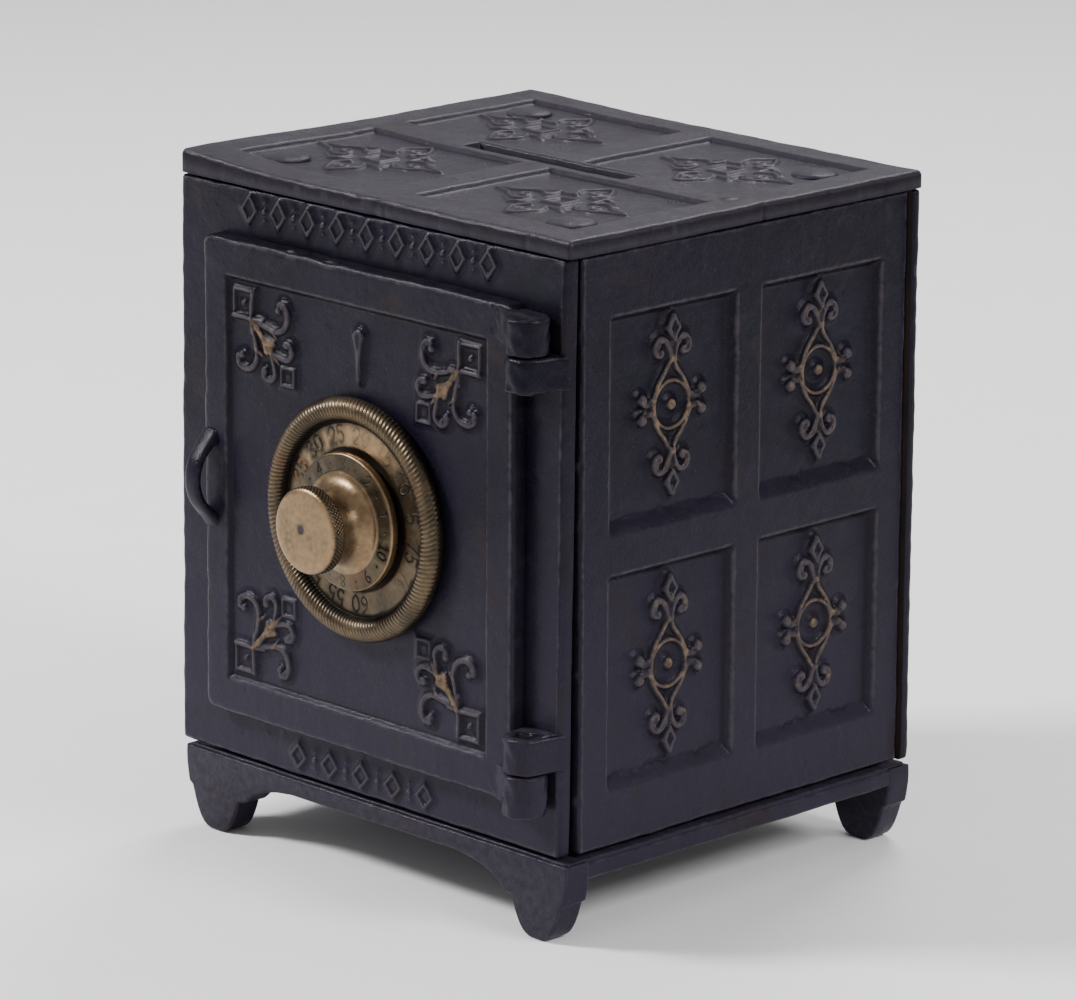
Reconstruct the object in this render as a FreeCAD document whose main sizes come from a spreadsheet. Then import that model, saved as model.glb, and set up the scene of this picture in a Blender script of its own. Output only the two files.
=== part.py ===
"""Cast iron toy safe bank with a hinged door and two combination dials.

Plates of cast iron stand on a footed base and are clamped under the top plate by four tie
rods.  The door hangs on two pins and carries two brass dials.  The outer dial turns a tube,
the inner knob turns a spindle inside that tube, and each carries a gated tumbler wheel.
A keeper lug on the back of the front frame passes the wheels only through their gates.

Millimetres.  +Z is up, the door faces -Y, and the origin is on the standing plane at the
middle of the overall width and depth.  Depths are first counted from the middle of the base,
and every sub-part is placed by origin_shift along Y to bring them to the origin.
"""
import FreeCAD, Part
import math
import os

import Sketcher

doc = FreeCAD.newDocument("StillBank")
dim = doc.addObject("Spreadsheet::Sheet", "dim")

DIMENSIONS = (
    ("origin_shift", 9.075), ("root", 0.5), ("overcut", 1.0),
    # base
    ("base_half_width", 60.2), ("base_front", 52.75), ("base_rear", 53.85),
    ("base_under", 14.0), ("base_top", 18.3), ("base_corner", 1.2),
    ("foot_thick", 5.0), ("foot_centre", 50.0), ("foot_offset", 1.2), ("foot_outer", 60.1),
    ("foot_shoulder", 7.3), ("foot_side", 6.6), ("foot_flat", 2.0), ("foot_inner", 9.4),
    ("foot_blend", 14.5), ("foot_toe_radius", 6.0), ("foot_blend_radius", 7.0),
    ("foot_step", 10.2), ("foot_arch", 9.4), ("foot_ledge", 8.4), ("foot_waist", 5.0),
    # locating rims on the base and under the top plate
    ("rim_half_width", 54.1), ("rim_front", 48.0), ("rim_back", 50.4), ("rim_wall", 2.5),
    ("rim_height", 2.5),
    # walls
    ("wall_gap", 0.2), ("wall_top", 147.8),
    ("front_half_width", 59.7), ("front_face", 52.5), ("front_thick", 4.2),
    ("side_face", 58.4), ("side_thick", 4.0), ("side_front", 48.1), ("side_back", 50.5),
    ("back_half_width", 60.0), ("back_inner", 50.7), ("back_thick", 3.05),
    ("panel_sink", 1.8), ("back_panel_sink", 1.4),
    ("panel_low_bottom", 31.0), ("panel_low_top", 78.5),
    ("panel_high_bottom", 86.5), ("panel_high_top", 134.0),
    ("side_panel_front", 39.5), ("side_panel_rib_front", 2.5),
    ("side_panel_rib_back", 5.5), ("side_panel_back", 42.5),
    ("back_panel_edge", 47.5), ("back_panel_rib", 4.0),
    # top plate
    ("top_half_width", 60.2), ("top_front", 52.75), ("top_rear", 53.85), ("top_under", 148.0),
    ("top_height", 152.0),
    ("top_panel_edge", 52.0), ("top_panel_rib", 4.0), ("top_panel_front", 43.5),
    ("top_panel_rib_front", 2.5), ("top_panel_rib_back", 6.0), ("top_panel_back", 45.5),
    ("slot_left", 25.0), ("slot_right", 23.5), ("slot_near", 0.55), ("slot_far", 4.05),
    # tie rods
    ("rod_across", 44.0), ("rod_along", 36.7), ("rod_radius", 2.0), ("rod_hole", 2.2),
    ("rod_end", 10.4), ("head_radius", 5.25), ("head_edge", 0.45), ("head_crown", 1.1),
    ("nut_flats", 8.0), ("nut_height", 3.0), ("snug", 0.02),
    # door opening and door
    ("opening_left", 45.0), ("opening_right", 43.0), ("opening_bottom", 33.0),
    ("opening_top", 134.0),
    ("door_left", 49.5), ("door_right", 47.1), ("door_bottom", 30.0), ("door_top", 137.0),
    ("door_corner", 2.5), ("door_face", 56.5), ("door_back", 52.7), ("plug_back", 49.5),
    ("plug_clear", 0.7),
    ("field_left", 42.5), ("field_right", 39.5), ("field_bottom", 38.0), ("field_top", 129.0),
    ("field_sink", 1.5),
    # finger pull
    ("pull_width", 4.0), ("pull_bottom", 73.0), ("pull_top", 92.5), ("pull_apex", 62.9),
    ("pull_bar", 1.8), ("pull_foot", 3.2), ("pull_bend", 4.2), ("pull_outer_radius", 7.5),
    ("pull_inner_radius", 5.5),
    # hinge
    ("hinge_across", 52.4), ("hinge_out", 57.6), ("knuckle_radius", 4.6),
    ("pin_radius", 1.8), ("pin_clear", 0.06), ("knuckle_gap", 0.3),
    ("bracket_right", 58.2), ("arm_left", 42.0), ("arm_spring", 3.6), ("arm_rise", 2.85),
    ("arm_return", 6.0),
    ("upper_low", 119.5), ("upper_mid", 127.0), ("upper_high", 136.5),
    ("lower_low", 27.0), ("lower_mid", 36.0), ("lower_high", 46.0), ("pin_blind", 1.7),
    ("pin_end_gap", 0.2),
    # keeper lug
    ("keeper_root", 53.8), ("keeper_tip", 21.5), ("keeper_half_height", 3.0),
    ("keeper_back", 45.0),
    # dials and lock work, depths in front of the middle of the base
    ("dial_height", 82.5), ("dial_radius", 26.8), ("dial_back", 55.6), ("dial_floor", 58.0),
    ("dial_crest", 59.8), ("dial_rear_radius", 25.2), ("dial_edge_back", 56.8),
    ("dial_edge_front", 57.6), ("dial_crest_radius", 24.2), ("dial_dish_lip", 58.9),
    ("dial_dish_outer", 21.2), ("dial_dish_inner", 15.8),
    ("tube_radius", 5.0), ("tube_bore", 2.6), ("tube_clear", 0.06), ("tube_end", 42.0),
    ("spindle_radius", 2.5), ("spindle_neck", 1.7), ("spindle_end", 35.8),
    ("inner_radius", 15.0), ("inner_back", 58.4), ("inner_edge", 60.6), ("inner_face", 60.8),
    ("flare_bend", 8.0), ("knob_rear_edge", 68.9), ("knob_front_edge", 71.5),
    ("knob_face_radius", 8.7),
    ("flare_radius", 11.0), ("neck_radius", 7.5), ("neck_front", 67.0),
    ("knob_radius", 9.2), ("knob_back", 68.5), ("knob_face", 72.0),
    ("wheel_radius", 25.5), ("wheel_thick", 2.0), ("outer_wheel_front", 44.4),
    ("inner_wheel_front", 41.4), ("gate_floor", 17.5), ("gate_half", 4.0),
    ("spacer_radius", 7.5), ("spacer_front", 49.4), ("face_gap", 0.05),
    ("washer_radius", 6.0), ("washer_front", 41.9), ("spindle_nut_flats", 9.0),
    ("spindle_nut_thick", 3.0),
)
for row, (alias, value) in enumerate(DIMENSIONS, start=1):
    dim.set("A%d" % row, alias.replace("_", " "))
    dim.set("B%d" % row, repr(value))
    dim.setAlias("B%d" % row, alias)
doc.recompute()

subparts = []


def number(expression):
    """The value in millimetres of an expression over the sheet."""
    return float(dim.evalExpression(expression))


def bind(owner, path, expression):
    owner.setExpression(path, expression)


def register(obj, label, across="0", height="0"):
    """Name a finished sub-part and place it in the part's frame."""
    obj.Label = label
    bind(obj, "Placement.Base.x", across)
    bind(obj, "Placement.Base.y", "dim.origin_shift")
    bind(obj, "Placement.Base.z", height)
    subparts.append(obj)


# ---------------------------------------------------------------- sketches and features

def new_body(name):
    return doc.addObject("PartDesign::Body", name + "_body")


def new_sketch(body, name, role, offset="0"):
    """A sketch on one of the body's own origin planes, moved along the plane's normal.

    On XZ_Plane the normal is -Y, so an offset there is a depth towards the front.
    """
    sketch = body.newObject("Sketcher::SketchObject", name)
    planes = [item for item in body.Origin.OriginFeatures if item.Role == role]
    sketch.AttachmentSupport = (planes[0], [""])
    sketch.MapMode = "FlatFace"
    bind(sketch, "AttachmentOffset.Base.z", offset)
    return sketch


def fix_point(sketch, geometry, vertex, across, up):
    """Hold one end of a line or arc at two bound distances from the sketch's origin."""
    for kind, expression in (("DistanceX", across), ("DistanceY", up)):
        index = sketch.addConstraint(
            Sketcher.Constraint(kind, -1, 1, geometry, vertex, number(expression)))
        bind(sketch, "Constraints[%d]" % index, expression)


def arc_between(start, end, radius, bulge):
    """An arc through two points; bulge +1 bows it to the right of the run, -1 to the left."""
    chord = end - start
    half = chord.Length / 2
    sagitta = radius - math.sqrt(max(radius * radius - half * half, 0.0))
    side = FreeCAD.Vector(chord.y, -chord.x, 0).normalize() * (bulge * sagitta)
    return Part.Arc(start, start + chord * 0.5 + side, end)


def outline(sketch, points, arcs=None):
    """A closed outline.  arcs maps an edge's index to (radius expression, bulge)."""
    arcs = arcs or {}
    vectors = [FreeCAD.Vector(number(a), number(b), 0) for a, b in points]
    count = len(points)
    edges = []
    for index in range(count):
        start = vectors[index]
        end = vectors[(index + 1) % count]
        if index in arcs:
            radius, bulge = arcs[index]
            arc = arc_between(start, end, number(radius), bulge)
            edges.append(sketch.addGeometry(arc, False))
        else:
            edges.append(sketch.addGeometry(Part.LineSegment(start, end), False))
    for index, geometry in enumerate(edges):
        tip = points[index]
        if index not in arcs:
            fix_point(sketch, geometry, 1, tip[0], tip[1])
            fix_point(sketch, geometry, 2, points[(index + 1) % count][0],
                      points[(index + 1) % count][1])
    for index, geometry in enumerate(edges):
        if index in arcs:
            sketch.addConstraint(Sketcher.Constraint("Block", geometry))
    return edges


def rectangle(sketch, left, right, bottom, top):
    outline(sketch, [(left, bottom), (right, bottom), (right, top), (left, top)])


def circle(sketch, across, up, radius):
    centre = FreeCAD.Vector(number(across), number(up), 0)
    geometry = sketch.addGeometry(
        Part.Circle(centre, FreeCAD.Vector(0, 0, 1), number(radius)), False)
    fix_point(sketch, geometry, 3, across, up)
    index = sketch.addConstraint(Sketcher.Constraint("Radius", geometry, number(radius)))
    bind(sketch, "Constraints[%d]" % index, radius)


def pad(body, name, sketch, length, reverse=False):
    feature = body.newObject("PartDesign::Pad", name)
    feature.Profile = sketch
    feature.Reversed = reverse
    bind(feature, "Length", length)
    doc.recompute()
    return feature


def pocket(body, name, sketch, length, reverse=False):
    """Cut a sketch into the body, and stop if nothing was cut."""
    before = body.Shape.Volume
    feature = body.newObject("PartDesign::Pocket", name)
    feature.Profile = sketch
    feature.Reversed = reverse
    bind(feature, "Length", length)
    doc.recompute()
    if body.Shape.Volume >= before - 0.01:
        raise RuntimeError("%s cuts nothing" % name)
    return feature


def fillet(body, name, base, edges, radius):
    feature = body.newObject("PartDesign::Fillet", name)
    feature.Base = (base, edges)
    bind(feature, "Radius", radius)
    doc.recompute()
    return feature


def upright_edges(shape, axis):
    """Names of the straight edges of a shape that run along an axis."""
    names = []
    for index, edge in enumerate(shape.Edges, start=1):
        if edge.Curve.TypeId == "Part::GeomLine":
            if abs(abs(edge.Curve.Direction.dot(axis)) - 1) < 1e-6:
                names.append("Edge%d" % index)
    return names


def rod_holes(body, name, plane_height, depth, reverse=False):
    sketch = new_sketch(body, name + "_sketch", "XY_Plane", plane_height)
    for across in ("-dim.rod_across", "dim.rod_across"):
        for along in ("-dim.rod_along", "dim.rod_along"):
            circle(sketch, across, along, "dim.rod_hole")
    pocket(body, name, sketch, depth, reverse)


def locating_rim(body, name, plane_height):
    sketch = new_sketch(body, name + "_sketch", "XY_Plane", plane_height)
    rectangle(sketch, "-dim.rim_half_width", "dim.rim_half_width",
              "-dim.rim_front", "dim.rim_back")
    rectangle(sketch, "-dim.rim_half_width + dim.rim_wall",
              "dim.rim_half_width - dim.rim_wall",
              "-dim.rim_front + dim.rim_wall", "dim.rim_back - dim.rim_wall")
    return sketch


# ---------------------------------------------------------------- case

def foot_outline(sketch, side):
    """One tongue foot: side is -1 on the left, +1 on the right."""
    centre = "%d * dim.foot_centre + dim.foot_offset" % side
    out = "%d" % side

    def at(distance):
        return "%s + %s * (%s)" % (centre, out, distance)

    points = [
        ("%s * dim.foot_outer" % out, "dim.base_under + dim.overcut"),
        ("%s * dim.foot_outer" % out, "dim.foot_step"),
        (at("dim.foot_shoulder"), "dim.foot_ledge"),
        (at("dim.foot_side"), "dim.foot_waist"),
        (at("dim.foot_flat"), "0"),
        (at("-dim.foot_flat"), "0"),
        (at("-dim.foot_side"), "dim.foot_waist"),
        (at("-dim.foot_shoulder"), "dim.foot_ledge"),
        (at("-dim.foot_inner"), "dim.foot_arch"),
        (at("-dim.foot_blend"), "dim.base_under"),
        (at("-dim.foot_blend"), "dim.base_under + dim.overcut"),
    ]
    arcs = {3: ("dim.foot_toe_radius", -side), 5: ("dim.foot_toe_radius", -side),
            8: ("dim.foot_blend_radius", side)}
    outline(sketch, points, arcs)


def make_base():
    body = new_body("base")
    plate = new_sketch(body, "base_plate_sketch", "XY_Plane", "dim.base_under")
    rectangle(plate, "-dim.base_half_width", "dim.base_half_width",
              "-dim.base_front", "dim.base_rear")
    slab = pad(body, "base_plate", plate, "dim.base_top - dim.base_under")
    corners = upright_edges(slab.Shape, FreeCAD.Vector(0, 0, 1))
    fillet(body, "base_corners", slab, corners, "dim.base_corner")
    for name, offset, reverse in (("front_feet", "dim.base_front", True),
                                  ("rear_feet", "-dim.base_rear", False)):
        sketch = new_sketch(body, name + "_sketch", "XZ_Plane", offset)
        foot_outline(sketch, -1)
        foot_outline(sketch, 1)
        pad(body, name, sketch, "dim.foot_thick", reverse)
    pad(body, "base_rim", locating_rim(body, "base_rim", "dim.base_top"), "dim.rim_height")
    rod_holes(body, "base_rod_holes", "dim.base_top", "dim.base_top - dim.base_under")
    register(body, "base")


def hinge_bracket(body, name, low, high):
    """A knuckle on the front frame with the web that joins it to the frame's face."""
    sketch = new_sketch(body, name + "_sketch", "XY_Plane", low)
    outline(sketch, [("dim.hinge_across - dim.knuckle_radius", "-dim.front_face + dim.root"),
                     ("dim.hinge_across - dim.knuckle_radius", "-dim.hinge_out"),
                     ("dim.hinge_across + dim.knuckle_radius", "-dim.hinge_out"),
                     ("dim.bracket_right", "-dim.front_face + dim.root")],
            {1: ("dim.knuckle_radius", 1)})
    pad(body, name, sketch, "%s - %s" % (high, low))
    bore = new_sketch(body, name + "_bore_sketch", "XY_Plane", high)
    circle(bore, "dim.hinge_across", "-dim.hinge_out", "dim.pin_radius + dim.snug")
    pocket(body, name + "_bore", bore, "%s - %s" % (high, low))


def make_front_frame():
    body = new_body("front_frame")
    plate = new_sketch(body, "frame_sketch", "XZ_Plane", "dim.front_face")
    rectangle(plate, "-dim.front_half_width", "dim.front_half_width",
              "dim.base_top + dim.wall_gap", "dim.wall_top")
    rectangle(plate, "-dim.opening_left", "dim.opening_right",
              "dim.opening_bottom", "dim.opening_top")
    pad(body, "frame_plate", plate, "dim.front_thick", True)
    keeper = new_sketch(body, "keeper_sketch", "XZ_Plane", "dim.keeper_back")
    rectangle(keeper, "-dim.keeper_root", "-dim.keeper_tip",
              "dim.dial_height - dim.keeper_half_height",
              "dim.dial_height + dim.keeper_half_height")
    pad(body, "keeper", keeper, "dim.front_face - dim.front_thick - dim.keeper_back")
    hinge_bracket(body, "upper_bracket", "dim.upper_low", "dim.upper_mid")
    hinge_bracket(body, "lower_bracket", "dim.lower_mid + dim.knuckle_gap", "dim.lower_high")
    register(body, "front_frame")


def side_panels(sketch):
    for front, back in (("-dim.side_panel_front", "-dim.side_panel_rib_front"),
                        ("dim.side_panel_rib_back", "dim.side_panel_back")):
        for low, high in (("dim.panel_low_bottom", "dim.panel_low_top"),
                          ("dim.panel_high_bottom", "dim.panel_high_top")):
            rectangle(sketch, front, back, low, high)


def make_side(label, side):
    """side is -1 for the left wall and +1 for the right."""
    body = new_body(label)
    face = "%d * dim.side_face" % side
    plate = new_sketch(body, label + "_sketch", "YZ_Plane", face)
    rectangle(plate, "-dim.side_front", "dim.side_back",
              "dim.base_top + dim.wall_gap", "dim.wall_top")
    pad(body, label + "_plate", plate, "dim.side_thick", side > 0)
    panels = new_sketch(body, label + "_panel_sketch", "YZ_Plane", face)
    side_panels(panels)
    pocket(body, label + "_panels", panels, "dim.panel_sink", side < 0)
    register(body, label)


def make_back():
    body = new_body("back_plate")
    outer = "-(dim.back_inner + dim.back_thick)"
    plate = new_sketch(body, "back_sketch", "XZ_Plane", outer)
    rectangle(plate, "-dim.back_half_width", "dim.back_half_width",
              "dim.base_top + dim.wall_gap", "dim.wall_top")
    pad(body, "back_slab", plate, "dim.back_thick")
    panels = new_sketch(body, "back_panel_sketch", "XZ_Plane", outer)
    for left, right in (("-dim.back_panel_edge", "-dim.back_panel_rib"),
                        ("dim.back_panel_rib", "dim.back_panel_edge")):
        for low, high in (("dim.panel_low_bottom", "dim.panel_low_top"),
                          ("dim.panel_high_bottom", "dim.panel_high_top")):
            rectangle(panels, left, right, low, high)
    pocket(body, "back_panels", panels, "dim.back_panel_sink", True)
    register(body, "back_plate")


def make_top():
    body = new_body("top_plate")
    plate = new_sketch(body, "top_sketch", "XY_Plane", "dim.top_under")
    rectangle(plate, "-dim.top_half_width", "dim.top_half_width",
              "-dim.top_front", "dim.top_rear")
    slab = pad(body, "top_slab", plate, "dim.top_height - dim.top_under")
    corners = upright_edges(slab.Shape, FreeCAD.Vector(0, 0, 1))
    fillet(body, "top_corners", slab, corners, "dim.base_corner")
    panels = new_sketch(body, "top_panel_sketch", "XY_Plane", "dim.top_height")
    for left, right in (("-dim.top_panel_edge", "-dim.top_panel_rib"),
                        ("dim.top_panel_rib", "dim.top_panel_edge")):
        for front, back in (("-dim.top_panel_front", "-dim.top_panel_rib_front"),
                            ("dim.top_panel_rib_back", "dim.top_panel_back")):
            rectangle(panels, left, right, front, back)
    pocket(body, "top_panels", panels, "dim.panel_sink")
    slot = new_sketch(body, "coin_slot_sketch", "XY_Plane", "dim.top_height")
    rectangle(slot, "-dim.slot_left", "dim.slot_right", "-dim.slot_near", "dim.slot_far")
    pocket(body, "coin_slot", slot, "dim.top_height - dim.top_under")
    rim = locating_rim(body, "top_rim", "dim.top_under")
    pad(body, "top_rim", rim, "dim.rim_height", True)
    rod_holes(body, "top_rod_holes", "dim.top_height", "dim.top_height - dim.top_under")
    register(body, "top_plate")


# ---------------------------------------------------------------- fasteners and pins

def turned(label, points, arcs=None, across="0", height="0"):
    """A body turned about its own vertical axis from (radius, height) points."""
    body = new_body(label)
    sketch = new_sketch(body, label + "_sketch", "XZ_Plane")
    outline(sketch, points, arcs)
    feature = body.newObject("PartDesign::Revolution", label + "_turned")
    feature.Profile = sketch
    feature.ReferenceAxis = (sketch, ["V_Axis"])
    feature.Angle = 360
    doc.recompute()
    register(body, label, across, height)
    return body


def place_along(obj, depth):
    """Move a placed sub-part further back along Y by an expression."""
    bind(obj, "Placement.Base.y", "dim.origin_shift + (%s)" % depth)


def make_tie_rod(label, across, along):
    seat = "dim.top_height - dim.panel_sink"
    rise = "(dim.head_crown - dim.head_edge)"
    dome = "(dim.head_radius^2 + %s^2) / (2 * %s)" % (rise, rise)
    body = turned(label, [
        ("0", "dim.rod_end"),
        ("dim.rod_radius", "dim.rod_end"),
        ("dim.rod_radius", seat),
        ("dim.head_radius", seat),
        ("dim.head_radius", seat + " + dim.head_edge"),
        ("0", seat + " + dim.head_crown"),
    ], {4: (dome, 1)}, across=across)
    place_along(body, along)


def square_nut(label, flats, thick, bore):
    """A square nut about +Z from z = 0, as a block less its bore."""
    block = doc.addObject("Part::Box", label + "_block")
    bind(block, "Length", flats)
    bind(block, "Width", flats)
    bind(block, "Height", thick)
    bind(block, "Placement.Base.x", "-(%s) / 2" % flats)
    bind(block, "Placement.Base.y", "-(%s) / 2" % flats)
    hole = doc.addObject("Part::Cylinder", label + "_hole")
    bind(hole, "Radius", bore)
    bind(hole, "Height", thick)
    nut = doc.addObject("Part::Cut", label + "_nut")
    nut.Base = block
    nut.Tool = hole
    return nut


def make_rod_nut(label, across, along):
    nut = square_nut(label, "dim.nut_flats", "dim.nut_height", "dim.rod_radius + dim.snug")
    register(nut, label, across, "dim.base_under - dim.nut_height")
    place_along(nut, along)


def make_hinge_pin(label, low, high):
    pin = doc.addObject("Part::Cylinder", label + "_cylinder")
    bind(pin, "Radius", "dim.pin_radius")
    bind(pin, "Height", "%s - (%s)" % (high, low))
    register(pin, label, "dim.hinge_across", low)
    place_along(pin, "-dim.hinge_out")


# ---------------------------------------------------------------- door

def door_knuckle(body, name, low, high, bore_low, bore_high):
    """A knuckle in front of the door's right border, with the arm that carries it."""
    sketch = new_sketch(body, name + "_sketch", "XY_Plane", low)
    outline(sketch, [
        ("dim.arm_left", "-dim.door_face + dim.root"),
        ("dim.arm_left", "-dim.door_face"),
        ("dim.hinge_across - dim.arm_spring", "-dim.hinge_out - dim.arm_rise"),
        ("dim.hinge_across", "-dim.hinge_out + dim.knuckle_radius"),
        ("dim.hinge_across - dim.arm_return", "-dim.hinge_out + dim.knuckle_radius"),
        ("dim.hinge_across - dim.arm_return", "-dim.door_face + dim.root"),
    ])
    pad(body, name + "_arm", sketch, "%s - (%s)" % (high, low))
    barrel = new_sketch(body, name + "_barrel_sketch", "XY_Plane", low)
    circle(barrel, "dim.hinge_across", "-dim.hinge_out", "dim.knuckle_radius")
    pad(body, name + "_barrel", barrel, "%s - (%s)" % (high, low))
    bore = new_sketch(body, name + "_bore_sketch", "XY_Plane", bore_high)
    circle(bore, "dim.hinge_across", "-dim.hinge_out", "dim.pin_radius + dim.pin_clear")
    pocket(body, name + "_bore", bore, "%s - (%s)" % (bore_high, bore_low))


def finger_pull(body):
    """The bow at the left border: a bar that stands off the door between two bends."""
    sketch = new_sketch(body, "pull_sketch", "YZ_Plane", "-dim.door_left")
    root = "-dim.door_face + dim.root"
    inner = "-dim.pull_apex + dim.pull_bar"
    outer = "dim.pull_outer_radius"
    bend = "dim.pull_inner_radius"
    low = "dim.pull_bottom"
    high = "dim.pull_top"
    outline(sketch, [
        (root, low),
        ("-dim.door_face", low),
        ("-dim.pull_apex", low + " + dim.pull_bend + dim.pull_foot / 2"),
        ("-dim.pull_apex", high + " - dim.pull_bend - dim.pull_foot / 2"),
        ("-dim.door_face", high),
        (root, high),
        (root, high + " - dim.pull_foot"),
        ("-dim.door_face", high + " - dim.pull_foot"),
        (inner, high + " - dim.pull_foot - dim.pull_bend"),
        (inner, low + " + dim.pull_foot + dim.pull_bend"),
        ("-dim.door_face", low + " + dim.pull_foot"),
        (root, low + " + dim.pull_foot"),
    ], {1: (outer, -1), 3: (outer, -1), 7: (bend, 1), 9: (bend, 1)})
    pad(body, "finger_pull", sketch, "dim.pull_width")


def make_door():
    body = new_body("door")
    slab_sketch = new_sketch(body, "door_sketch", "XZ_Plane", "dim.door_face")
    rectangle(slab_sketch, "-dim.door_left", "dim.door_right",
              "dim.door_bottom", "dim.door_top")
    slab = pad(body, "door_slab", slab_sketch, "dim.door_face - dim.door_back", True)
    corners = upright_edges(slab.Shape, FreeCAD.Vector(0, 1, 0))
    fillet(body, "door_corners", slab, corners, "dim.door_corner")
    plug = new_sketch(body, "plug_sketch", "XZ_Plane", "dim.door_back")
    rectangle(plug, "-dim.opening_left + dim.plug_clear", "dim.opening_right - dim.plug_clear",
              "dim.opening_bottom + dim.plug_clear", "dim.opening_top - dim.plug_clear")
    pad(body, "door_plug", plug, "dim.door_back - dim.plug_back", True)
    field = new_sketch(body, "field_sketch", "XZ_Plane", "dim.door_face")
    rectangle(field, "-dim.field_left", "dim.field_right", "dim.field_bottom", "dim.field_top")
    pocket(body, "door_field", field, "dim.field_sink")
    door_knuckle(body, "upper_knuckle", "dim.upper_mid + dim.knuckle_gap", "dim.upper_high",
                 "dim.upper_mid + dim.knuckle_gap", "dim.upper_high - dim.pin_blind")
    door_knuckle(body, "lower_knuckle", "dim.lower_low", "dim.lower_mid",
                 "dim.lower_low + dim.pin_blind", "dim.lower_mid")
    finger_pull(body)
    bore = new_sketch(body, "dial_bore_sketch", "XZ_Plane", "dim.door_face")
    circle(bore, "0", "dim.dial_height", "dim.tube_radius + dim.tube_clear")
    pocket(body, "dial_bore", bore, "dim.door_face - dim.plug_back")
    register(body, "door")


# ---------------------------------------------------------------- dials and lock work

def turned_on_dial_axis(label, points, arcs=None):
    """A body turned about the dial axis from (radius, depth in front of the middle) points."""
    body = new_body(label)
    sketch = new_sketch(body, label + "_sketch", "XY_Plane")
    outline(sketch, [(radius, "-(%s)" % depth) for radius, depth in points], arcs)
    feature = body.newObject("PartDesign::Revolution", label + "_turned")
    feature.Profile = sketch
    feature.ReferenceAxis = (sketch, ["V_Axis"])
    feature.Angle = 360
    doc.recompute()
    register(body, label, "0", "dim.dial_height")
    return body


def make_ring(label, bore, radius, front, back):
    return turned_on_dial_axis(label, [
        (bore, front), (radius, front), (radius, back), (bore, back)])


def make_outer_dial():
    bore = "dim.tube_radius + dim.snug"
    turned_on_dial_axis("outer_dial", [
        (bore, "dim.dial_back"),
        ("dim.dial_rear_radius", "dim.dial_back"),
        ("dim.dial_radius", "dim.dial_edge_back"),
        ("dim.dial_radius", "dim.dial_edge_front"),
        ("dim.dial_crest_radius", "dim.dial_crest"),
        ("dim.dial_dish_outer", "dim.dial_dish_lip"),
        ("dim.dial_dish_inner", "dim.dial_floor"),
        (bore, "dim.dial_floor"),
    ])


def make_dial_knob():
    bore = "dim.spindle_neck + dim.snug"
    turned_on_dial_axis("dial_knob", [
        (bore, "dim.inner_back"),
        ("dim.inner_radius", "dim.inner_back"),
        ("dim.inner_radius", "dim.inner_edge"),
        ("dim.flare_radius", "dim.inner_face"),
        ("dim.neck_radius", "dim.neck_front"),
        ("dim.neck_radius", "dim.knob_back"),
        ("dim.knob_radius", "dim.knob_rear_edge"),
        ("dim.knob_radius", "dim.knob_front_edge"),
        ("dim.knob_face_radius", "dim.knob_face"),
        (bore, "dim.knob_face"),
    ], {3: ("dim.flare_bend", -1)})


def make_spindle():
    turned_on_dial_axis("knob_spindle", [
        ("0", "dim.knob_face"),
        ("dim.spindle_neck", "dim.knob_face"),
        ("dim.spindle_neck", "dim.inner_back - dim.face_gap"),
        ("dim.spindle_radius", "dim.inner_back - dim.face_gap"),
        ("dim.spindle_radius", "dim.spindle_end"),
        ("0", "dim.spindle_end"),
    ])


def make_wheel(label, front, bore):
    """A tumbler wheel with one gate in its rim, facing -X while the safe is unlocked."""
    body = new_body(label)
    sketch = new_sketch(body, label + "_sketch", "XZ_Plane", front)
    circle(sketch, "0", "0", "dim.wheel_radius")
    circle(sketch, "0", "0", bore)
    pad(body, label + "_disc", sketch, "dim.wheel_thick", True)
    gate = new_sketch(body, label + "_gate_sketch", "XZ_Plane", front)
    rectangle(gate, "-dim.wheel_radius - dim.overcut", "-dim.gate_floor",
              "-dim.gate_half", "dim.gate_half")
    pocket(body, label + "_gate", gate, "dim.wheel_thick")
    register(body, label, "0", "dim.dial_height")


def make_spindle_nut():
    nut = square_nut("spindle_nut", "dim.spindle_nut_flats", "dim.spindle_nut_thick",
                     "dim.spindle_radius + dim.snug")
    nut.Placement = FreeCAD.Placement(
        FreeCAD.Vector(), FreeCAD.Rotation(FreeCAD.Vector(1, 0, 0), 90))
    register(nut, "spindle_nut", "0", "dim.dial_height")
    place_along(nut, "-(dim.inner_wheel_front - dim.wheel_thick - dim.face_gap"
                     " - dim.spindle_nut_thick)")


# ---------------------------------------------------------------- build

make_base()
make_front_frame()
make_side("left_side", -1)
make_side("right_side", 1)
make_back()
make_top()
for depth_name, depth_sign in (("front", "-"), ("rear", "")):
    for side_name, side_sign in (("left", "-"), ("right", "")):
        corner = "%s_%s" % (depth_name, side_name)
        across = side_sign + "dim.rod_across"
        along = depth_sign + "dim.rod_along"
        make_tie_rod("tie_rod_" + corner, across, along)
        make_rod_nut("rod_nut_" + corner, across, along)
make_hinge_pin("hinge_pin_upper", "dim.upper_low", "dim.upper_high - dim.pin_blind - dim.pin_end_gap")
make_hinge_pin("hinge_pin_lower", "dim.lower_low + dim.pin_blind + dim.pin_end_gap", "dim.lower_high")
make_door()
make_outer_dial()
make_ring("outer_spindle_tube", "dim.tube_bore", "dim.tube_radius",
          "dim.dial_floor", "dim.tube_end")
make_ring("tumbler_spacer", "dim.tube_radius + dim.snug", "dim.spacer_radius",
          "dim.spacer_front", "dim.outer_wheel_front + dim.face_gap")
make_wheel("outer_tumbler", "dim.outer_wheel_front", "dim.tube_radius + dim.snug")
make_dial_knob()
make_spindle()
make_ring("inner_washer", "dim.spindle_radius + dim.snug", "dim.washer_radius",
          "dim.washer_front", "dim.inner_wheel_front + dim.face_gap")
make_wheel("inner_tumbler", "dim.inner_wheel_front", "dim.spindle_radius + dim.snug")
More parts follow.
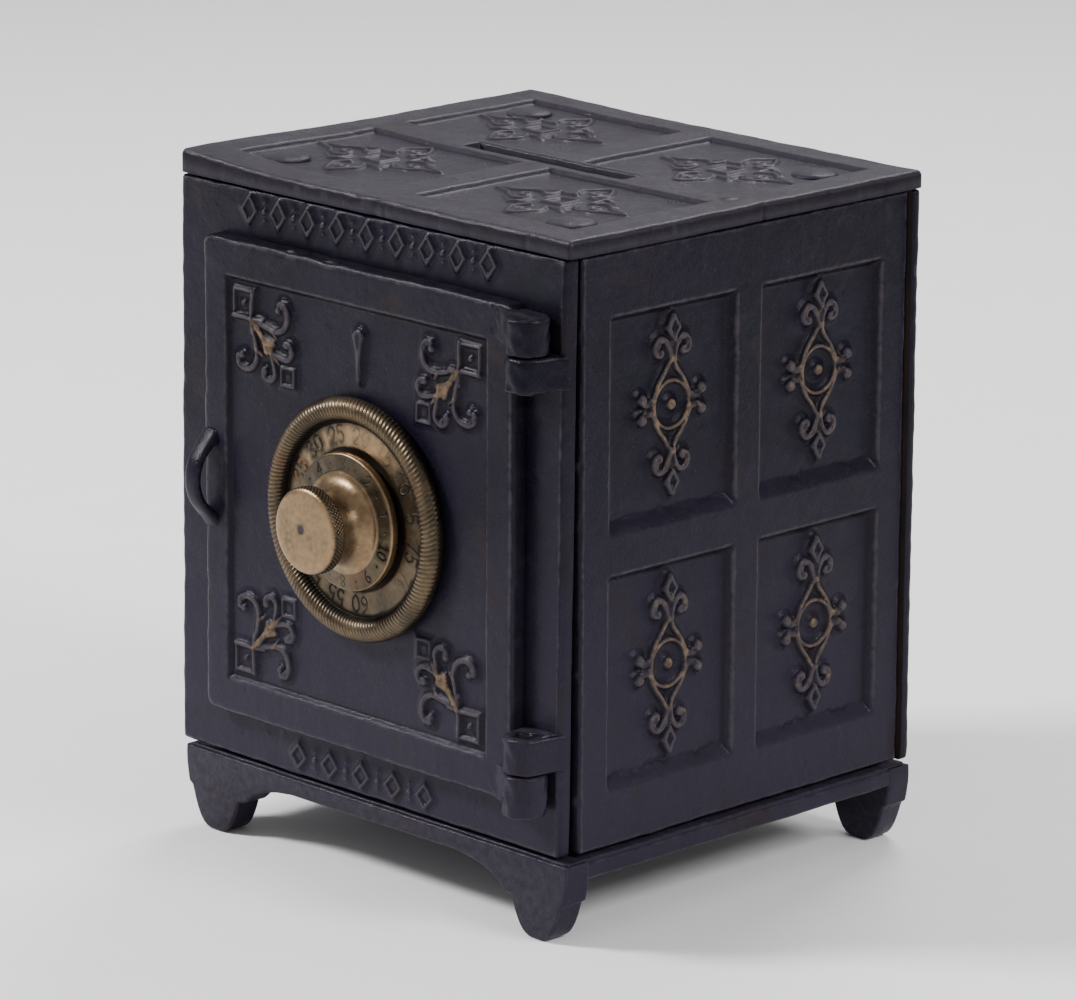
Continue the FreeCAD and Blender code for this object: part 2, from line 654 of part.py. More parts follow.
make_spindle_nut()
doc.recompute()

for obj in doc.Objects:
    if "Invalid" in obj.State or "Error" in obj.State:
        raise RuntimeError("%s is in state %s" % (obj.Name, obj.State))
for obj in subparts:
    if obj.Shape.isNull() or not obj.Shape.isValid() or not obj.Shape.Solids:
        raise RuntimeError("%s has no valid solid" % obj.Label)

os.makedirs("parts", exist_ok=True)
for obj in subparts:
    obj.Shape.exportStep("parts/%s.step" % obj.Label)
    print("%-22s %10.1f mm3" % (obj.Label, obj.Shape.Volume))
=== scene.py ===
"""Looks for the cast iron toy safe bank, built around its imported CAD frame.

Every iron plate is a closed mesh over a fine grid, with sunk panels, drafted walls, rounded
edges and raised ornament as real geometry.  The brass dials are turned meshes with knurls and
numerals.  Design sizes below are in millimetres and MM brings them to metres.
"""
import math

import bmesh
import bpy
import numpy as np
from mathutils import Matrix, Vector


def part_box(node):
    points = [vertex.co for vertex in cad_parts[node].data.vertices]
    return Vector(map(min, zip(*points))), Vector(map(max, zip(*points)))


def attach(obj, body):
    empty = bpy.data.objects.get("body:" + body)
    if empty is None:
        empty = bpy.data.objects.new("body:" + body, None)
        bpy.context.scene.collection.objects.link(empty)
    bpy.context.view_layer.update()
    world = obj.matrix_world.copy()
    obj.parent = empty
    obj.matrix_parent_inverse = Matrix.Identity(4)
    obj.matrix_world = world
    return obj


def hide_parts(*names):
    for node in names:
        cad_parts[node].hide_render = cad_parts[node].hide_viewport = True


MM = 0.001

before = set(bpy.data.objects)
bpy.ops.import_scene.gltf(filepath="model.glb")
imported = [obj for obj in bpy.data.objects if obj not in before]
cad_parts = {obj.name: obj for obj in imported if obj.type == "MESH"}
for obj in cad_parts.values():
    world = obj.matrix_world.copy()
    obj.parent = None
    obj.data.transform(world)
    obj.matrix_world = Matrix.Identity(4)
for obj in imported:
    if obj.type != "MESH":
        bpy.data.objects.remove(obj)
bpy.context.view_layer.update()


def span(node):
    """Lowest and highest corner of a CAD node, in millimetres."""
    low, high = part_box(node)
    return np.array(low) / MM, np.array(high) / MM


# ---------------------------------------------------------------- driving sizes

BASE_LOW, BASE_HIGH = span("base")
TOP_LOW, TOP_HIGH = span("top_plate")
FRAME_LOW, FRAME_HIGH = span("front_frame")
DOOR_LOW, DOOR_HIGH = span("door")
DIAL_LOW, DIAL_HIGH = span("outer_dial")
PIN_LOW, PIN_HIGH = span("hinge_pin_lower")
UPPER_PIN_HIGH = span("hinge_pin_upper")[1]

# places, with depths counted from the middle of the base as the CAD design does
MID_Y = BASE_LOW[1] + 52.75
FRAME_FACE = MID_Y - 52.5
DOOR_FACE = MID_Y - 56.5
PLUG_FACE = MID_Y - 49.5
PULL_APEX = MID_Y - 61.7
DIAL_Z = (DIAL_LOW[2] + DIAL_HIGH[2]) / 2
HINGE = (PIN_LOW[:2] + PIN_HIGH[:2]) / 2
PIN_CLEARANCE = 0.06
PIN_BORE = (PIN_HIGH[0] - PIN_LOW[0]) / 2 + PIN_CLEARANCE
KNUCKLE = 4.6

# spans are (from, to), and rectangles (left, right, low, high) as seen from outside
DOOR_RIGHT = 47.1
DOOR_BOTTOM = 30.0
OPENING = (-45.0, 43.0, 33.0, 134.0)
FIELD = (-42.5, 39.5, 38.0, 129.0)
DIAL_HOLE = 5.2
DIAL_BORE = (-DIAL_HOLE, DIAL_HOLE, DIAL_Z - DIAL_HOLE, DIAL_Z + DIAL_HOLE)
WALL_FRONT, WALL_REAR = -47.8, 51.1
WALL_LOW, WALL_HIGH = 19.1, 147.6
WALL_ROWS = [(31.0, 78.5), (86.5, 134.0)]
SIDE_COLUMNS = [(-39.6, -1.3), (5.5, 43.4)]
BACK_COLUMNS = [(-47.5, -4.0), (4.0, 47.5)]
TOP_COLUMNS = [(-52.0, -4.5), (3.5, 51.5)]
TOP_ROWS = [(-44.0, -3.2), (6.0, 46.0)]
TOP_SLOT = (-26.3, 22.8, -0.55, 4.5)
ROSETTE_CENTRES = [(-30.6, -21.6), (27.2, -23.4), (-29.8, 26.6), (28.6, 25.4)]

# grid spacings: the finest where the surface turns fastest
ORNAMENT_GRID = 0.29
TOP_GRID = 0.35
EDGE_GRID = 0.24
DRAFT_GRID = 0.4
OPEN_GRID = 1.1

EDGE_ROUND = 0.8     # radius of a casting's outer edges
EDGE_REACH = 1.1     # width of the finely gridded strip along them
EDGE_FADE = 1.6      # how far in an edge's unevenness reaches
SKIRT = 1.7          # how far past its outline an ornament lifts the ground
NEUTRAL = 0.5        # the edge field on flat ground
SHARP = math.radians(40)


# ---------------------------------------------------------------- fields over a grid

def smooth(value):
    """Smoothstep of a value cut to 0..1."""
    value = np.clip(value, 0.0, 1.0)
    return value * value * (3 - 2 * value)


def grid_lines(start, stop, windows, rest=OPEN_GRID):
    """Grid positions from start to stop, as close as each (from, to, spacing) window asks."""
    cuts = sorted({start, stop, *(min(max(edge, start), stop)
                                  for window in windows for edge in window[:2])})
    lines = [np.array([start])]
    for low, high in zip(cuts, cuts[1:]):
        if high - low < 1e-6:
            continue
        middle = (low + high) / 2
        spacing = min([w[2] for w in windows if w[0] <= middle <= w[1]] + [rest])
        count = max(1, math.ceil((high - low) / spacing))
        lines.append(np.linspace(low, high, count + 1)[1:])
    return np.concatenate(lines)


def box_distance(u, v, left, right, low, high, radius):
    """Signed distance to a rectangle with rounded corners, negative inside."""
    du = np.abs(u - (left + right) / 2) - ((right - left) / 2 - radius)
    dv = np.abs(v - (low + high) / 2) - ((high - low) / 2 - radius)
    outside = np.hypot(np.maximum(du, 0), np.maximum(dv, 0))
    return outside + np.minimum(np.maximum(du, dv), 0) - radius


def waviness(u, v, seed, size, amount, count=14):
    """Smooth uneven casting surface: a sum of sines about as long as size."""
    random = np.random.RandomState(seed)
    total = np.zeros_like(u)
    for _ in range(count):
        angle = random.uniform(0, 2 * math.pi)
        length = size * random.uniform(0.6, 2.2)
        phase = random.uniform(0, 2 * math.pi)
        wave = 2 * math.pi / length
        total += np.sin(wave * (u * math.cos(angle) + v * math.sin(angle)) + phase)
    return total * amount / math.sqrt(count / 2)


def spline(points, steps=8):
    """A Catmull-Rom curve through control points."""
    points = np.asarray(points, float)
    padded = np.vstack([2 * points[0] - points[1], points, 2 * points[-1] - points[-2]])
    out = []
    for a, b, c, d in zip(padded, padded[1:], padded[2:], padded[3:]):
        for t in np.linspace(0, 1, steps, endpoint=False):
            out.append(0.5 * (2 * b + (c - a) * t + (2 * a - 5 * b + 4 * c - d) * t * t
                              + (3 * b - a - 3 * c + d) * t ** 3))
    out.append(points[-1])
    return np.array(out)


class Relief:
    """Raised ornament over a grid: its height in mm, and how much gold it keeps.

    swell is the height of the skirt around each line, as a share of the line's own.
    """

    def __init__(self, us, vs, swell=0.34):
        self.us = us
        self.vs = vs
        self.swell = swell
        self.u, self.v = np.meshgrid(us, vs)
        self.height = np.zeros_like(self.u)
        self.gilt = np.zeros_like(self.u)

    def part(self, points, margin):
        """Grid rows and columns around some points."""
        low = np.min(points, axis=0) - margin
        high = np.max(points, axis=0) + margin
        columns = slice(*np.searchsorted(self.us, (low[0], high[0])))
        rows = slice(*np.searchsorted(self.vs, (low[1], high[1])))
        return rows, columns

    def raise_by(self, where, distance, height, gilt, soft):
        """Lift the surface where distance is negative, with soft flanks and a low skirt."""
        skirt_width, crossing_lift = 1.5, 0.1
        bump = height * smooth(0.5 - distance / soft)
        skirt = self.swell * height * smooth(1.0 - distance / skirt_width)
        bump = np.maximum(bump, skirt)
        old = self.height[where]
        self.height[where] = np.maximum(old, bump) + crossing_lift * np.minimum(old, bump)
        self.gilt[where] = np.maximum(self.gilt[where], gilt * smooth(0.3 - 2.0 * distance))

    def stroke(self, points, width, height, gilt, soft=0.8, tip=None):
        """A raised line through control points; width is half its width, tip that at its end."""
        path = spline(points)
        where = self.part(path, width + SKIRT)
        u, v = self.u[where], self.v[where]
        best = np.full(u.shape, 1e3)
        ends = len(path) - 1
        last = width if tip is None else tip
        for index, (a, b) in enumerate(zip(path, path[1:])):
            run = b - a
            length = max(float(run @ run), 1e-9)
            t = np.clip(((u - a[0]) * run[0] + (v - a[1]) * run[1]) / length, 0, 1)
            half = width + (last - width) * (index + t) / ends
            gap = np.hypot(u - a[0] - t * run[0], v - a[1] - t * run[1])
            best = np.minimum(best, gap - half)
        self.raise_by(where, best, height, gilt, soft)

    def around(self, centre, margin):
        """Grid part around a centre, with its distances across and along."""
        where = self.part(np.array([centre]), margin)
        return where, self.u[where] - centre[0], self.v[where] - centre[1]

    def ring(self, centre, radius, width, height, gilt, soft=0.8):
        where, du, dv = self.around(centre, radius + width + SKIRT)
        self.raise_by(where, np.abs(np.hypot(du, dv) - radius) - width, height, gilt, soft)

    def dot(self, centre, radius, height, gilt, soft=0.9):
        where, du, dv = self.around(centre, radius + SKIRT)
        self.raise_by(where, np.hypot(du, dv) - radius, height, gilt, soft)

    def lozenge(self, centre, across, along, width, height, gilt, fill):
        """A rhombus outline with half sizes across and along; fill is its field's height."""
        corners = [(0, along), (across, 0), (0, -along), (-across, 0), (0, along)]
        corners = [(centre[0] + a, centre[1] + b) for a, b in corners]
        for a, b in zip(corners, corners[1:]):
            self.stroke([a, b], width, height, gilt)
        where = self.part(np.array(corners), SKIRT)
        gap = (np.abs(self.u[where] - centre[0]) / across
               + np.abs(self.v[where] - centre[1]) / along - 1) * min(across, along) * 0.8
        self.raise_by(where, gap, fill, gilt * 0.4, 0.8)

    def square(self, centre, half, width, height, gilt, fill=0.0):
        where, du, dv = self.around(centre, half + width + SKIRT)
        gap = np.maximum(np.abs(du), np.abs(dv)) - half
        self.raise_by(where, np.abs(gap) - width, height, gilt, 0.8)
        if fill:
            self.raise_by(where, gap + half * 0.45, fill, gilt * 0.3, 0.9)


def turned_points(points, centre, flip_u=1, flip_v=1, swap=False):
    """Design points brought to a centre, mirrored and swapped as asked."""
    out = []
    for a, b in points:
        if swap:
            a, b = b, a
        out.append((centre[0] + flip_u * a, centre[1] + flip_v * b))
    return out


def pen(relief, centre, flip_u=1, flip_v=1, swap=False):
    """A function that strokes design points given from a centre, mirrored as asked."""
    def draw(points, width, height, gilt, soft=0.8, tip=None):
        placed = turned_points(points, centre, flip_u, flip_v, swap)
        relief.stroke(placed, width, height, gilt, soft, tip)
    return draw


# ---------------------------------------------------------------- ornament designs

def side_scroll(relief, centre):
    """Ringed lozenge with scrolls, lobes and finials, for the side and back panels."""
    relief.ring(centre, 5.1, 0.55, 1.3, 0.85)
    relief.dot(centre, 1.3, 1.5, 1.0)
    for up in (-1, 1):
        for side in (-1, 1):
            draw = pen(relief, centre, side, up)
            draw([(0.3, 10.2), (1.5, 7.8), (3.7, 5.0), (5.5, 1.6)], 0.65, 1.35, 0.8)
            draw([(0.5, 9.6), (0.8, 11.6), (1.9, 13.7), (3.5, 14.2), (4.6, 13.1), (4.5, 11.6),
                  (3.5, 11.3)], 0.75, 1.6, 0.58, 1.0, tip=1.2)
            relief.dot(*turned_points([(8.8, 2.2)], centre, side, up), 1.35, 1.8, 0.5, 1.2)
            draw([(5.4, 1.2), (7.4, 1.1), (8.8, 2.0)], 1.05, 1.3, 0.65, 0.9)
        pen(relief, centre, 1, up)([(0, 9.8), (0, 14.4)], 0.95, 1.2, 0.6)
        finial, point = turned_points([(0, 16.6), (0, 19.4)], centre, 1, up)
        relief.lozenge(finial, 1.5, 2.5, 0.72, 1.8, 0.45, fill=1.35)
        relief.dot(point, 0.4, 0.9, 0.2)


def corner_scroll(relief, centre, flip_u, flip_v):
    """Door corner ornament, mirrored about the diagonal that runs in from its big square."""
    arm = [(-3.0, 3.1), (3.0, 3.0), (7.6, 4.1), (10.9, 4.6), (13.4, 3.4), (14.3, 0.9),
           (13.4, -1.2), (11.9, -1.4)]
    curl = [(8.3, 8.9), (11.4, 9.9), (14.2, 10.3), (15.6, 8.8), (15.0, 7.2), (13.7, 7.0)]
    for swap in (False, True):
        draw = pen(relief, centre, flip_u, flip_v, swap)
        draw(arm, 0.62, 1.15, 0.5, tip=1.0)
        draw([(9.4, 4.4), (10.6, 6.1)], 0.7, 0.95, 0.8, tip=0.4)
        draw([(2.9, 3.2), (3.1, 6.2)], 0.65, 1.0, 0.6)
        draw(curl, 0.62, 1.15, 0.22, tip=1.0)
        draw([(4.2, 4.8), (6.8, 6.6), (9.4, 7.6)], 0.55, 1.0, 1.0, tip=0.95)
        relief.dot(*turned_points([(11.4, -0.2)], centre, flip_u, flip_v, swap), 0.95, 1.25, 0.3)
    draw = pen(relief, centre, flip_u, flip_v)
    draw([(3.0, 3.0), (6.0, 6.2), (9.0, 9.0)], 0.6, 1.05, 1.0, tip=1.1)
    draw([(9.0, 9.0), (11.6, 11.6)], 1.1, 0.95, 0.8, tip=0.4)
    relief.square(centre, 2.9, 0.5, 0.95, 0.45)
    relief.dot(centre, 0.7, 0.9, 0.6)
    small = turned_points([(14.1, 14.1)], centre, flip_u, flip_v)[0]
    relief.square(small, 1.95, 0.45, 0.9, 0.2, fill=0.5)


def top_rosette(relief, centre):
    """A square with four eyed and pointed leaves around it, and corner buds."""
    relief.square(centre, 2.7, 0.42, 0.6, 0.1)
    for side in (-1, 1):
        for swap, reach, half in ((False, 19.2, 4.2), (True, 15.6, 3.8)):
            for edge in (-1, 1):
                flips = (edge, side) if swap else (side, edge)
                draw = pen(relief, centre, *flips, swap)
                draw([(6.7, 2.1), (8.4, half * 0.9), (10.4, half), (12.6, half * 0.68),
                      (14.4, half * 0.33), (reach, 0.1)], 0.42, 0.62, 0.1)
                draw([(6.6, 6.6), (6.3, 4.2), (6.7, 2.1)], 0.42, 0.6, 0.1)
            flips = (1, side) if swap else (side, 1)
            eye = turned_points([(10.6, 0)], centre, *flips, swap)[0]
            relief.ring(eye, 1.05, 0.3, 0.5, 0.05)
        for up in (-1, 1):
            draw = pen(relief, centre, side, up)
            draw([(6.6, 6.6), (8.0, 7.8)], 0.55, 0.6, 0.1, tip=0.35)
            draw([(7.4, 7.0), (10.2, 6.0), (12.4, 4.4)], 0.34, 0.4, 0.05)


def band_marks(relief, left, right, low, high, count):
    """A plain raised border of lozenges and beads."""
    middle = (low + high) / 2
    pitch = (right - left) / (count - 1)
    for index in range(count):
        at = left + index * pitch
        if index % 2:
            relief.dot((at, middle), pitch * 0.16, 0.7, 0.12)
            for side in (-1, 1):
                relief.dot((at, middle + side * (high - low) * 0.33), 0.4, 0.55, 0.1)
        else:
            relief.lozenge((at, middle), pitch * 0.46, (high - low) / 2, 0.5, 0.75, 0.15, 0.3)


# ---------------------------------------------------------------- mesh building

def mesh_object(name, vertices, faces, materials, smooth_faces=None, face_materials=None,
                fields=None):
    """A mesh from millimetre vertices, with point fields the materials read."""
    mesh = bpy.data.meshes.new(name)
    mesh.from_pydata([tuple(v) for v in np.asarray(vertices) * MM], [], faces)
    for material in materials:
        mesh.materials.append(material)
    flags = np.ones(len(mesh.polygons), bool) if smooth_faces is None else smooth_faces
    mesh.polygons.foreach_set("use_smooth", np.asarray(flags, bool))
    if face_materials is not None:
        mesh.polygons.foreach_set("material_index", np.asarray(face_materials, np.int32))
    fields = fields or {}
    for label in ("gilt", "edge"):
        values = fields.get(label)
        if values is None:
            values = np.full(len(mesh.vertices), NEUTRAL if label == "edge" else 0.0)
        attribute = mesh.attributes.new(label, "FLOAT", "POINT")
        attribute.data.foreach_set("value", np.asarray(values, np.float32))
    mesh.update()
    piece = bpy.data.objects.new(name, mesh)
    bpy.context.scene.collection.objects.link(piece)
    return piece


def convexity(us, vs, height, reach=0.9, gain=1.6):
    """NEUTRAL on flat ground, towards 1 on crests and edges and towards 0 in corners."""
    total = np.zeros_like(height)
    for shift in (-reach, reach):
        for row in range(height.shape[0]):
            total[row] += np.interp(us + shift, us, height[row])
        for column in range(height.shape[1]):
            total[:, column] += np.interp(vs + shift, vs, height[:, column])
    return np.clip(NEUTRAL + gain * (height - total / 4), 0, 1)


def round_corners(u, v, left, right, low, high, radius):
    """Draw the grid in at its corners, so that its outline has rounded corners."""
    for side_u, edge_u in ((-1, left), (1, right)):
        for side_v, edge_v in ((-1, low), (1, high)):
            pivot_u, pivot_v = edge_u - side_u * radius, edge_v - side_v * radius
            du, dv = u - pivot_u, v - pivot_v
            corner = (du * side_u > 0) & (dv * side_v > 0)
            scale = (np.maximum(np.abs(du), np.abs(dv))
                     / np.maximum(np.hypot(du, dv), 1e-9))
            u = np.where(corner, pivot_u + du * scale, u)
            v = np.where(corner, pivot_v + dv * scale, v)
    return u, v


def edge_drop(distance, radius):
    """How far a rounded edge falls at a distance in from the outline."""
    inset = np.clip(distance / radius, 0, 1)
    return radius * (1 - np.sqrt(np.clip(1 - (1 - inset) ** 2, 0, 1)))


def nicks(along, seed, count=11):
    """Small notches at random places along an edge."""
    random = np.random.RandomState(seed)
    total = np.zeros_like(along)
    for _ in range(count):
        at = random.uniform(along.min(), along.max())
        reach = random.uniform(0.7, 2.0)
        total += random.uniform(0.3, 1.6) * np.exp(-((along - at) / reach) ** 2)
    return total


def ragged(across, along, lines, wave, phase, ripple, seed):
    """Push the two edges that end lines in and out: two waves along them, and nicks."""
    gap = np.minimum(across - lines[0], lines[-1] - across)
    sag = np.sin(along * wave + phase) + 0.5 * np.sin(along * ripple)
    sag += np.where(across > np.mean(lines), nicks(along, seed), nicks(along, seed + 1))
    return np.exp(-gap / EDGE_FADE) * sag * np.sign(lines[0] + lines[-1] - 2 * across)


def plate(name, origin, across, up, relief, surface, depth, materials, hole=None,
          corner=0.8, uneven=0.05, skew=None):
    """A closed cast plate: surface heights over the relief's grid, and a flat back.

    origin, across and up give the plate's plane in the part's frame.  depth is the back's
    distance behind the plane.  hole is (left, right, low, high) on grid lines.  materials
    are the front's and the back's, and skew moves grid points across.
    """
    us, vs = relief.us, relief.vs
    across, up = np.array(across, float), np.array(up, float)
    out = np.cross(across, up)
    u, v = round_corners(relief.u, relief.v, us[0], us[-1], vs[0], vs[-1], corner)
    seed = len(name)
    u = u + uneven * ragged(relief.u, relief.v, us, 0.11, 1, 0.37, seed)
    v = v + uneven * ragged(relief.v, relief.u, vs, 0.13, 2, 0.41, seed + 2)
    if skew is not None:
        u = u + skew(relief.u, relief.v)
    rows, columns = surface.shape

    def place(u_values, v_values, heights):
        return (np.array(origin) + np.outer(u_values.ravel(), across)
                + np.outer(v_values.ravel(), up) + np.outer(heights.ravel(), out))

    index = np.arange(rows * columns).reshape(rows, columns)
    keep = np.ones((rows - 1, columns - 1), bool)
    if hole is not None:
        c0, c1 = (int(np.argmin(np.abs(us - x))) for x in hole[:2])
        r0, r1 = (int(np.argmin(np.abs(vs - x))) for x in hole[2:])
        keep[r0:r1, c0:c1] = False
    quads = np.stack([index[:-1, :-1], index[:-1, 1:], index[1:, 1:], index[1:, :-1]], -1)
    faces = [tuple(q) for q in quads[keep]]
    vertices = [place(u, v, surface)]
    fields = {"gilt": [relief.gilt.ravel()], "edge": [convexity(us, vs, surface).ravel()]}

    def rim(loop):
        """Duplicate a boundary loop at the back, and wall it; returns the back's indices."""
        start = sum(len(block) for block in vertices)
        flat = np.array(loop)
        back = place(u.ravel()[flat], v.ravel()[flat], np.full(len(flat), -depth))
        vertices.append(back)
        fields["gilt"].append(np.zeros(len(flat)))
        fields["edge"].append(np.full(len(flat), NEUTRAL))
        ring = list(range(start, start + len(flat)))
        for i in range(len(flat)):
            j = (i + 1) % len(flat)
            faces.append((loop[i], ring[i], ring[j], loop[j]))
        return dict(zip(loop, ring))

    outer = (list(index[0, :]) + list(index[1:, -1]) + list(index[-1, -2::-1])
             + list(index[-2:0:-1, 0]))
    backs = rim(outer)
    if hole is None:
        caps = [outer]
    else:
        inner = (list(index[r0, c0:c1 + 1][::-1]) + list(index[r0 + 1:r1 + 1, c0])
                 + list(index[r1, c0 + 1:c1 + 1]) + list(index[r0 + 1:r1, c1][::-1]))
        backs.update(rim(inner))
        left_side = [int(index[r, c0]) for r in range(r0, r1 + 1)]
        right_side = [int(index[r, c1]) for r in range(r0, r1 + 1)]
        caps = [
            list(index[0, :c0 + 1]) + left_side + list(index[-1, :c0 + 1][::-1])
            + list(index[-2:0:-1, 0]),
            list(index[0, c1:]) + list(index[1:, -1]) + list(index[-1, c1:-1][::-1])
            + right_side[::-1],
            list(index[0, c0:c1 + 1]) + list(index[r0, c0:c1 + 1][::-1]),
            list(index[r1, c0:c1 + 1]) + list(index[-1, c0:c1 + 1][::-1]),
        ]
    fronts = len(faces)
    faces += [tuple(backs[int(i)] for i in reversed(cap)) for cap in caps]
    flags = [True] * fronts + [False] * len(caps)
    slots = [0] * fronts + [1] * len(caps)
    return mesh_object(name, np.vstack(vertices), faces, materials, flags, slots,
                       {key: np.concatenate(value) for key, value in fields.items()})


def loft(name, rings, materials, closed_path=False, fields=None):
    """A closed mesh through equal rings of points, capped by polygons or joined end to end."""
    rings = np.asarray(rings)
    count, size = rings.shape[:2]
    faces = []
    for ring in range(count if closed_path else count - 1):
        after = (ring + 1) % count
        for point in range(size):
            step = (point + 1) % size
            faces.append((ring * size + point, ring * size + step,
                          after * size + step, after * size + point))
    flags = [True] * len(faces)
    if not closed_path:
        faces.append(tuple(reversed(range(size))))
        faces.append(tuple(range((count - 1) * size, count * size)))
        flags += [False, False]
    return mesh_object(name, rings.reshape(-1, 3), faces, materials, flags, None, fields)


def fix_normals(piece):
    """Turn a closed mesh's faces outwards."""
    work = bmesh.new()
    work.from_mesh(piece.data)
    bmesh.ops.recalc_face_normals(work, faces=work.faces)
    work.to_mesh(piece.data)
    work.free()
    return piece


def inset_loop(points, amount):
    """A closed plan outline moved inwards by an amount along its own normals."""
    ahead = np.roll(points, -1, axis=0) - points
    behind = points - np.roll(points, 1, axis=0)
    tangent = ahead / np.linalg.norm(ahead, axis=1)[:, None]
    tangent += behind / np.linalg.norm(behind, axis=1)[:, None]
    tangent /= np.maximum(np.linalg.norm(tangent, axis=1)[:, None], 1e-9)
    normal = np.stack([-tangent[:, 1], tangent[:, 0]], -1)
    return points + normal * amount


def arc(centre, radius, start, stop, count=16):
    """Points on an arc, angles in degrees."""
    angles = np.radians(np.linspace(start, stop, count))
    return [(centre[0] + radius * math.cos(a), centre[1] + radius * math.sin(a)) for a in angles]


def extruded(name, outline, low, high, to_space, rounding, steps=4, shape=None):
    """An iron outline swept from low to high with rounded ends; to_space maps (a, b, level)."""
    outline = np.array(outline, float)
    area = np.sum(outline[:, 0] * np.roll(outline[:, 1], -1)
                  - np.roll(outline[:, 0], -1) * outline[:, 1])
    if area < 0:
        outline = outline[::-1]
    rubbed, straight_rows = 0.25, 9
    turns = np.linspace(0, math.pi / 2, steps + 1)
    levels = [(low + rounding * (1 - math.sin(t)), rounding * (1 - math.cos(t)))
              for t in turns[::-1]]
    levels += [(level, 0.0) for level in np.linspace(low + rounding, high - rounding,
                                                     straight_rows)[1:-1]]
    levels += [(high - rounding * (1 - math.sin(t)), rounding * (1 - math.cos(t)))
               for t in turns]
    rings, wear = [], []
    for level, amount in levels:
        loop = inset_loop(outline, amount) if amount > 1e-6 else outline
        points = np.array([to_space(a, b, level) for a, b in loop])
        rings.append(points if shape is None else shape(points))
        wear += [NEUTRAL + rubbed * (amount > 1e-6)] * len(loop)
    piece = fix_normals(loft(name, rings, [IRON], fields={"edge": wear}))
    piece.data.set_sharp_from_angle(angle=SHARP)
    return piece


def cut_bore(piece, centre, radius, low, high):
    """Cut an upright round bore through a piece."""
    ring = arc(centre, radius, 0, 360, 49)[:-1]
    rings = [[(a, b, z) for a, b in ring] for z in (low, high)]
    tool = fix_normals(loft("bore_tool", rings, [IRON]))
    modifier = piece.modifiers.new("bore", "BOOLEAN")
    modifier.operation = "DIFFERENCE"
    modifier.solver = "MANIFOLD"
    modifier.object = tool
    apply_modifiers(piece)
    bpy.data.objects.remove(tool)


def apply_modifiers(piece):
    """Replace a piece's mesh by its modified one."""
    bpy.context.view_layer.update()
    graph = bpy.context.evaluated_depsgraph_get()
    mesh = bpy.data.meshes.new_from_object(piece.evaluated_get(graph))
    piece.modifiers.clear()
    piece.data = mesh


def join(name, pieces):
    """Several closed shells as one piece."""
    bpy.ops.object.select_all(action="DESELECT")
    for piece in pieces:
        piece.select_set(True)
    bpy.context.view_layer.objects.active = pieces[0]
    bpy.ops.object.join()
    pieces[0].name = name
    pieces[0].data.name = name
    return pieces[0]


def stand_for(piece, body, node):
    """Let a piece ride on a body in place of a CAD node."""
    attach(piece, body)
    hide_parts(node)


# ---------------------------------------------------------------- materials

def new_material(name):
    material = bpy.data.materials.new(name)
    material.use_nodes = True
    tree = material.node_tree
    shader = tree.nodes["Principled BSDF"]
    return material, tree, shader


def link(tree, source, target):
    tree.links.new(source, target)


def node(tree, kind, **values):
    made = tree.nodes.new(kind)
    for key, value in values.items():
        setattr(made, key, value)
    return made


def fill(made, values):
    """Give a node's inputs fixed values."""
    for label, value in values.items():
        made.inputs[label].default_value = value


def noise(tree, scale, detail, roughness, distortion=0.0):
    """Noise over object coordinates; scale is in features per metre."""
    coordinates = node(tree, "ShaderNodeTexCoord")
    texture = node(tree, "ShaderNodeTexNoise")
    fill(texture, {"Scale": scale, "Detail": detail, "Roughness": roughness,
                   "Distortion": distortion})
    link(tree, coordinates.outputs["Object"], texture.inputs["Vector"])
    return texture.outputs["Fac"]


def upright(tree):
    """Height in the part's own frame, in metres."""
    coordinates = node(tree, "ShaderNodeTexCoord")
    split = node(tree, "ShaderNodeSeparateXYZ")
    link(tree, coordinates.outputs["Object"], split.inputs["Vector"])
    return split.outputs["Z"]


def field(tree, label):
    attribute = node(tree, "ShaderNodeAttribute")
    attribute.attribute_name = label
    return attribute.outputs["Fac"]


def remap(tree, value, low, high, to_low=0.0, to_high=1.0):
    made = node(tree, "ShaderNodeMapRange")
    made.interpolation_type = "SMOOTHSTEP"
    fill(made, {"From Min": low, "From Max": high, "To Min": to_low, "To Max": to_high})
    link(tree, value, made.inputs["Value"])
    return made.outputs["Result"]


def maths(tree, operation, first, second):
    made = node(tree, "ShaderNodeMath", operation=operation)
    for socket, value in zip(made.inputs, (first, second)):
        if isinstance(value, (int, float)):
            socket.default_value = value
        else:
            link(tree, value, socket)
    return made.outputs[0]


def plus(tree, first, second, share):
    """One value and a share of another."""
    return maths(tree, "ADD", first, maths(tree, "MULTIPLY", second, share))


def mix(tree, factor, first, second):
    made = node(tree, "ShaderNodeMix", data_type="RGBA")
    for socket, value in ((made.inputs[0], factor), (made.inputs[6], first),
                          (made.inputs[7], second)):
        if isinstance(value, tuple):
            socket.default_value = (*value, 1.0)
        elif isinstance(value, (int, float)):
            socket.default_value = value
        else:
            link(tree, value, socket)
    return made.outputs[2]


def bumps(tree, shader, layers):
    """Chain bump layers of (value, strength, distance in metres)."""
    normal = None
    for value, strength, distance in layers:
        bump = node(tree, "ShaderNodeBump")
        fill(bump, {"Strength": strength, "Distance": distance})
        link(tree, value, bump.inputs["Height"])
        if normal is not None:
            link(tree, normal, bump.inputs["Normal"])
        normal = bump.outputs["Normal"]
    link(tree, normal, shader.inputs["Normal"])
    link(tree, normal, shader.inputs["Coat Normal"])


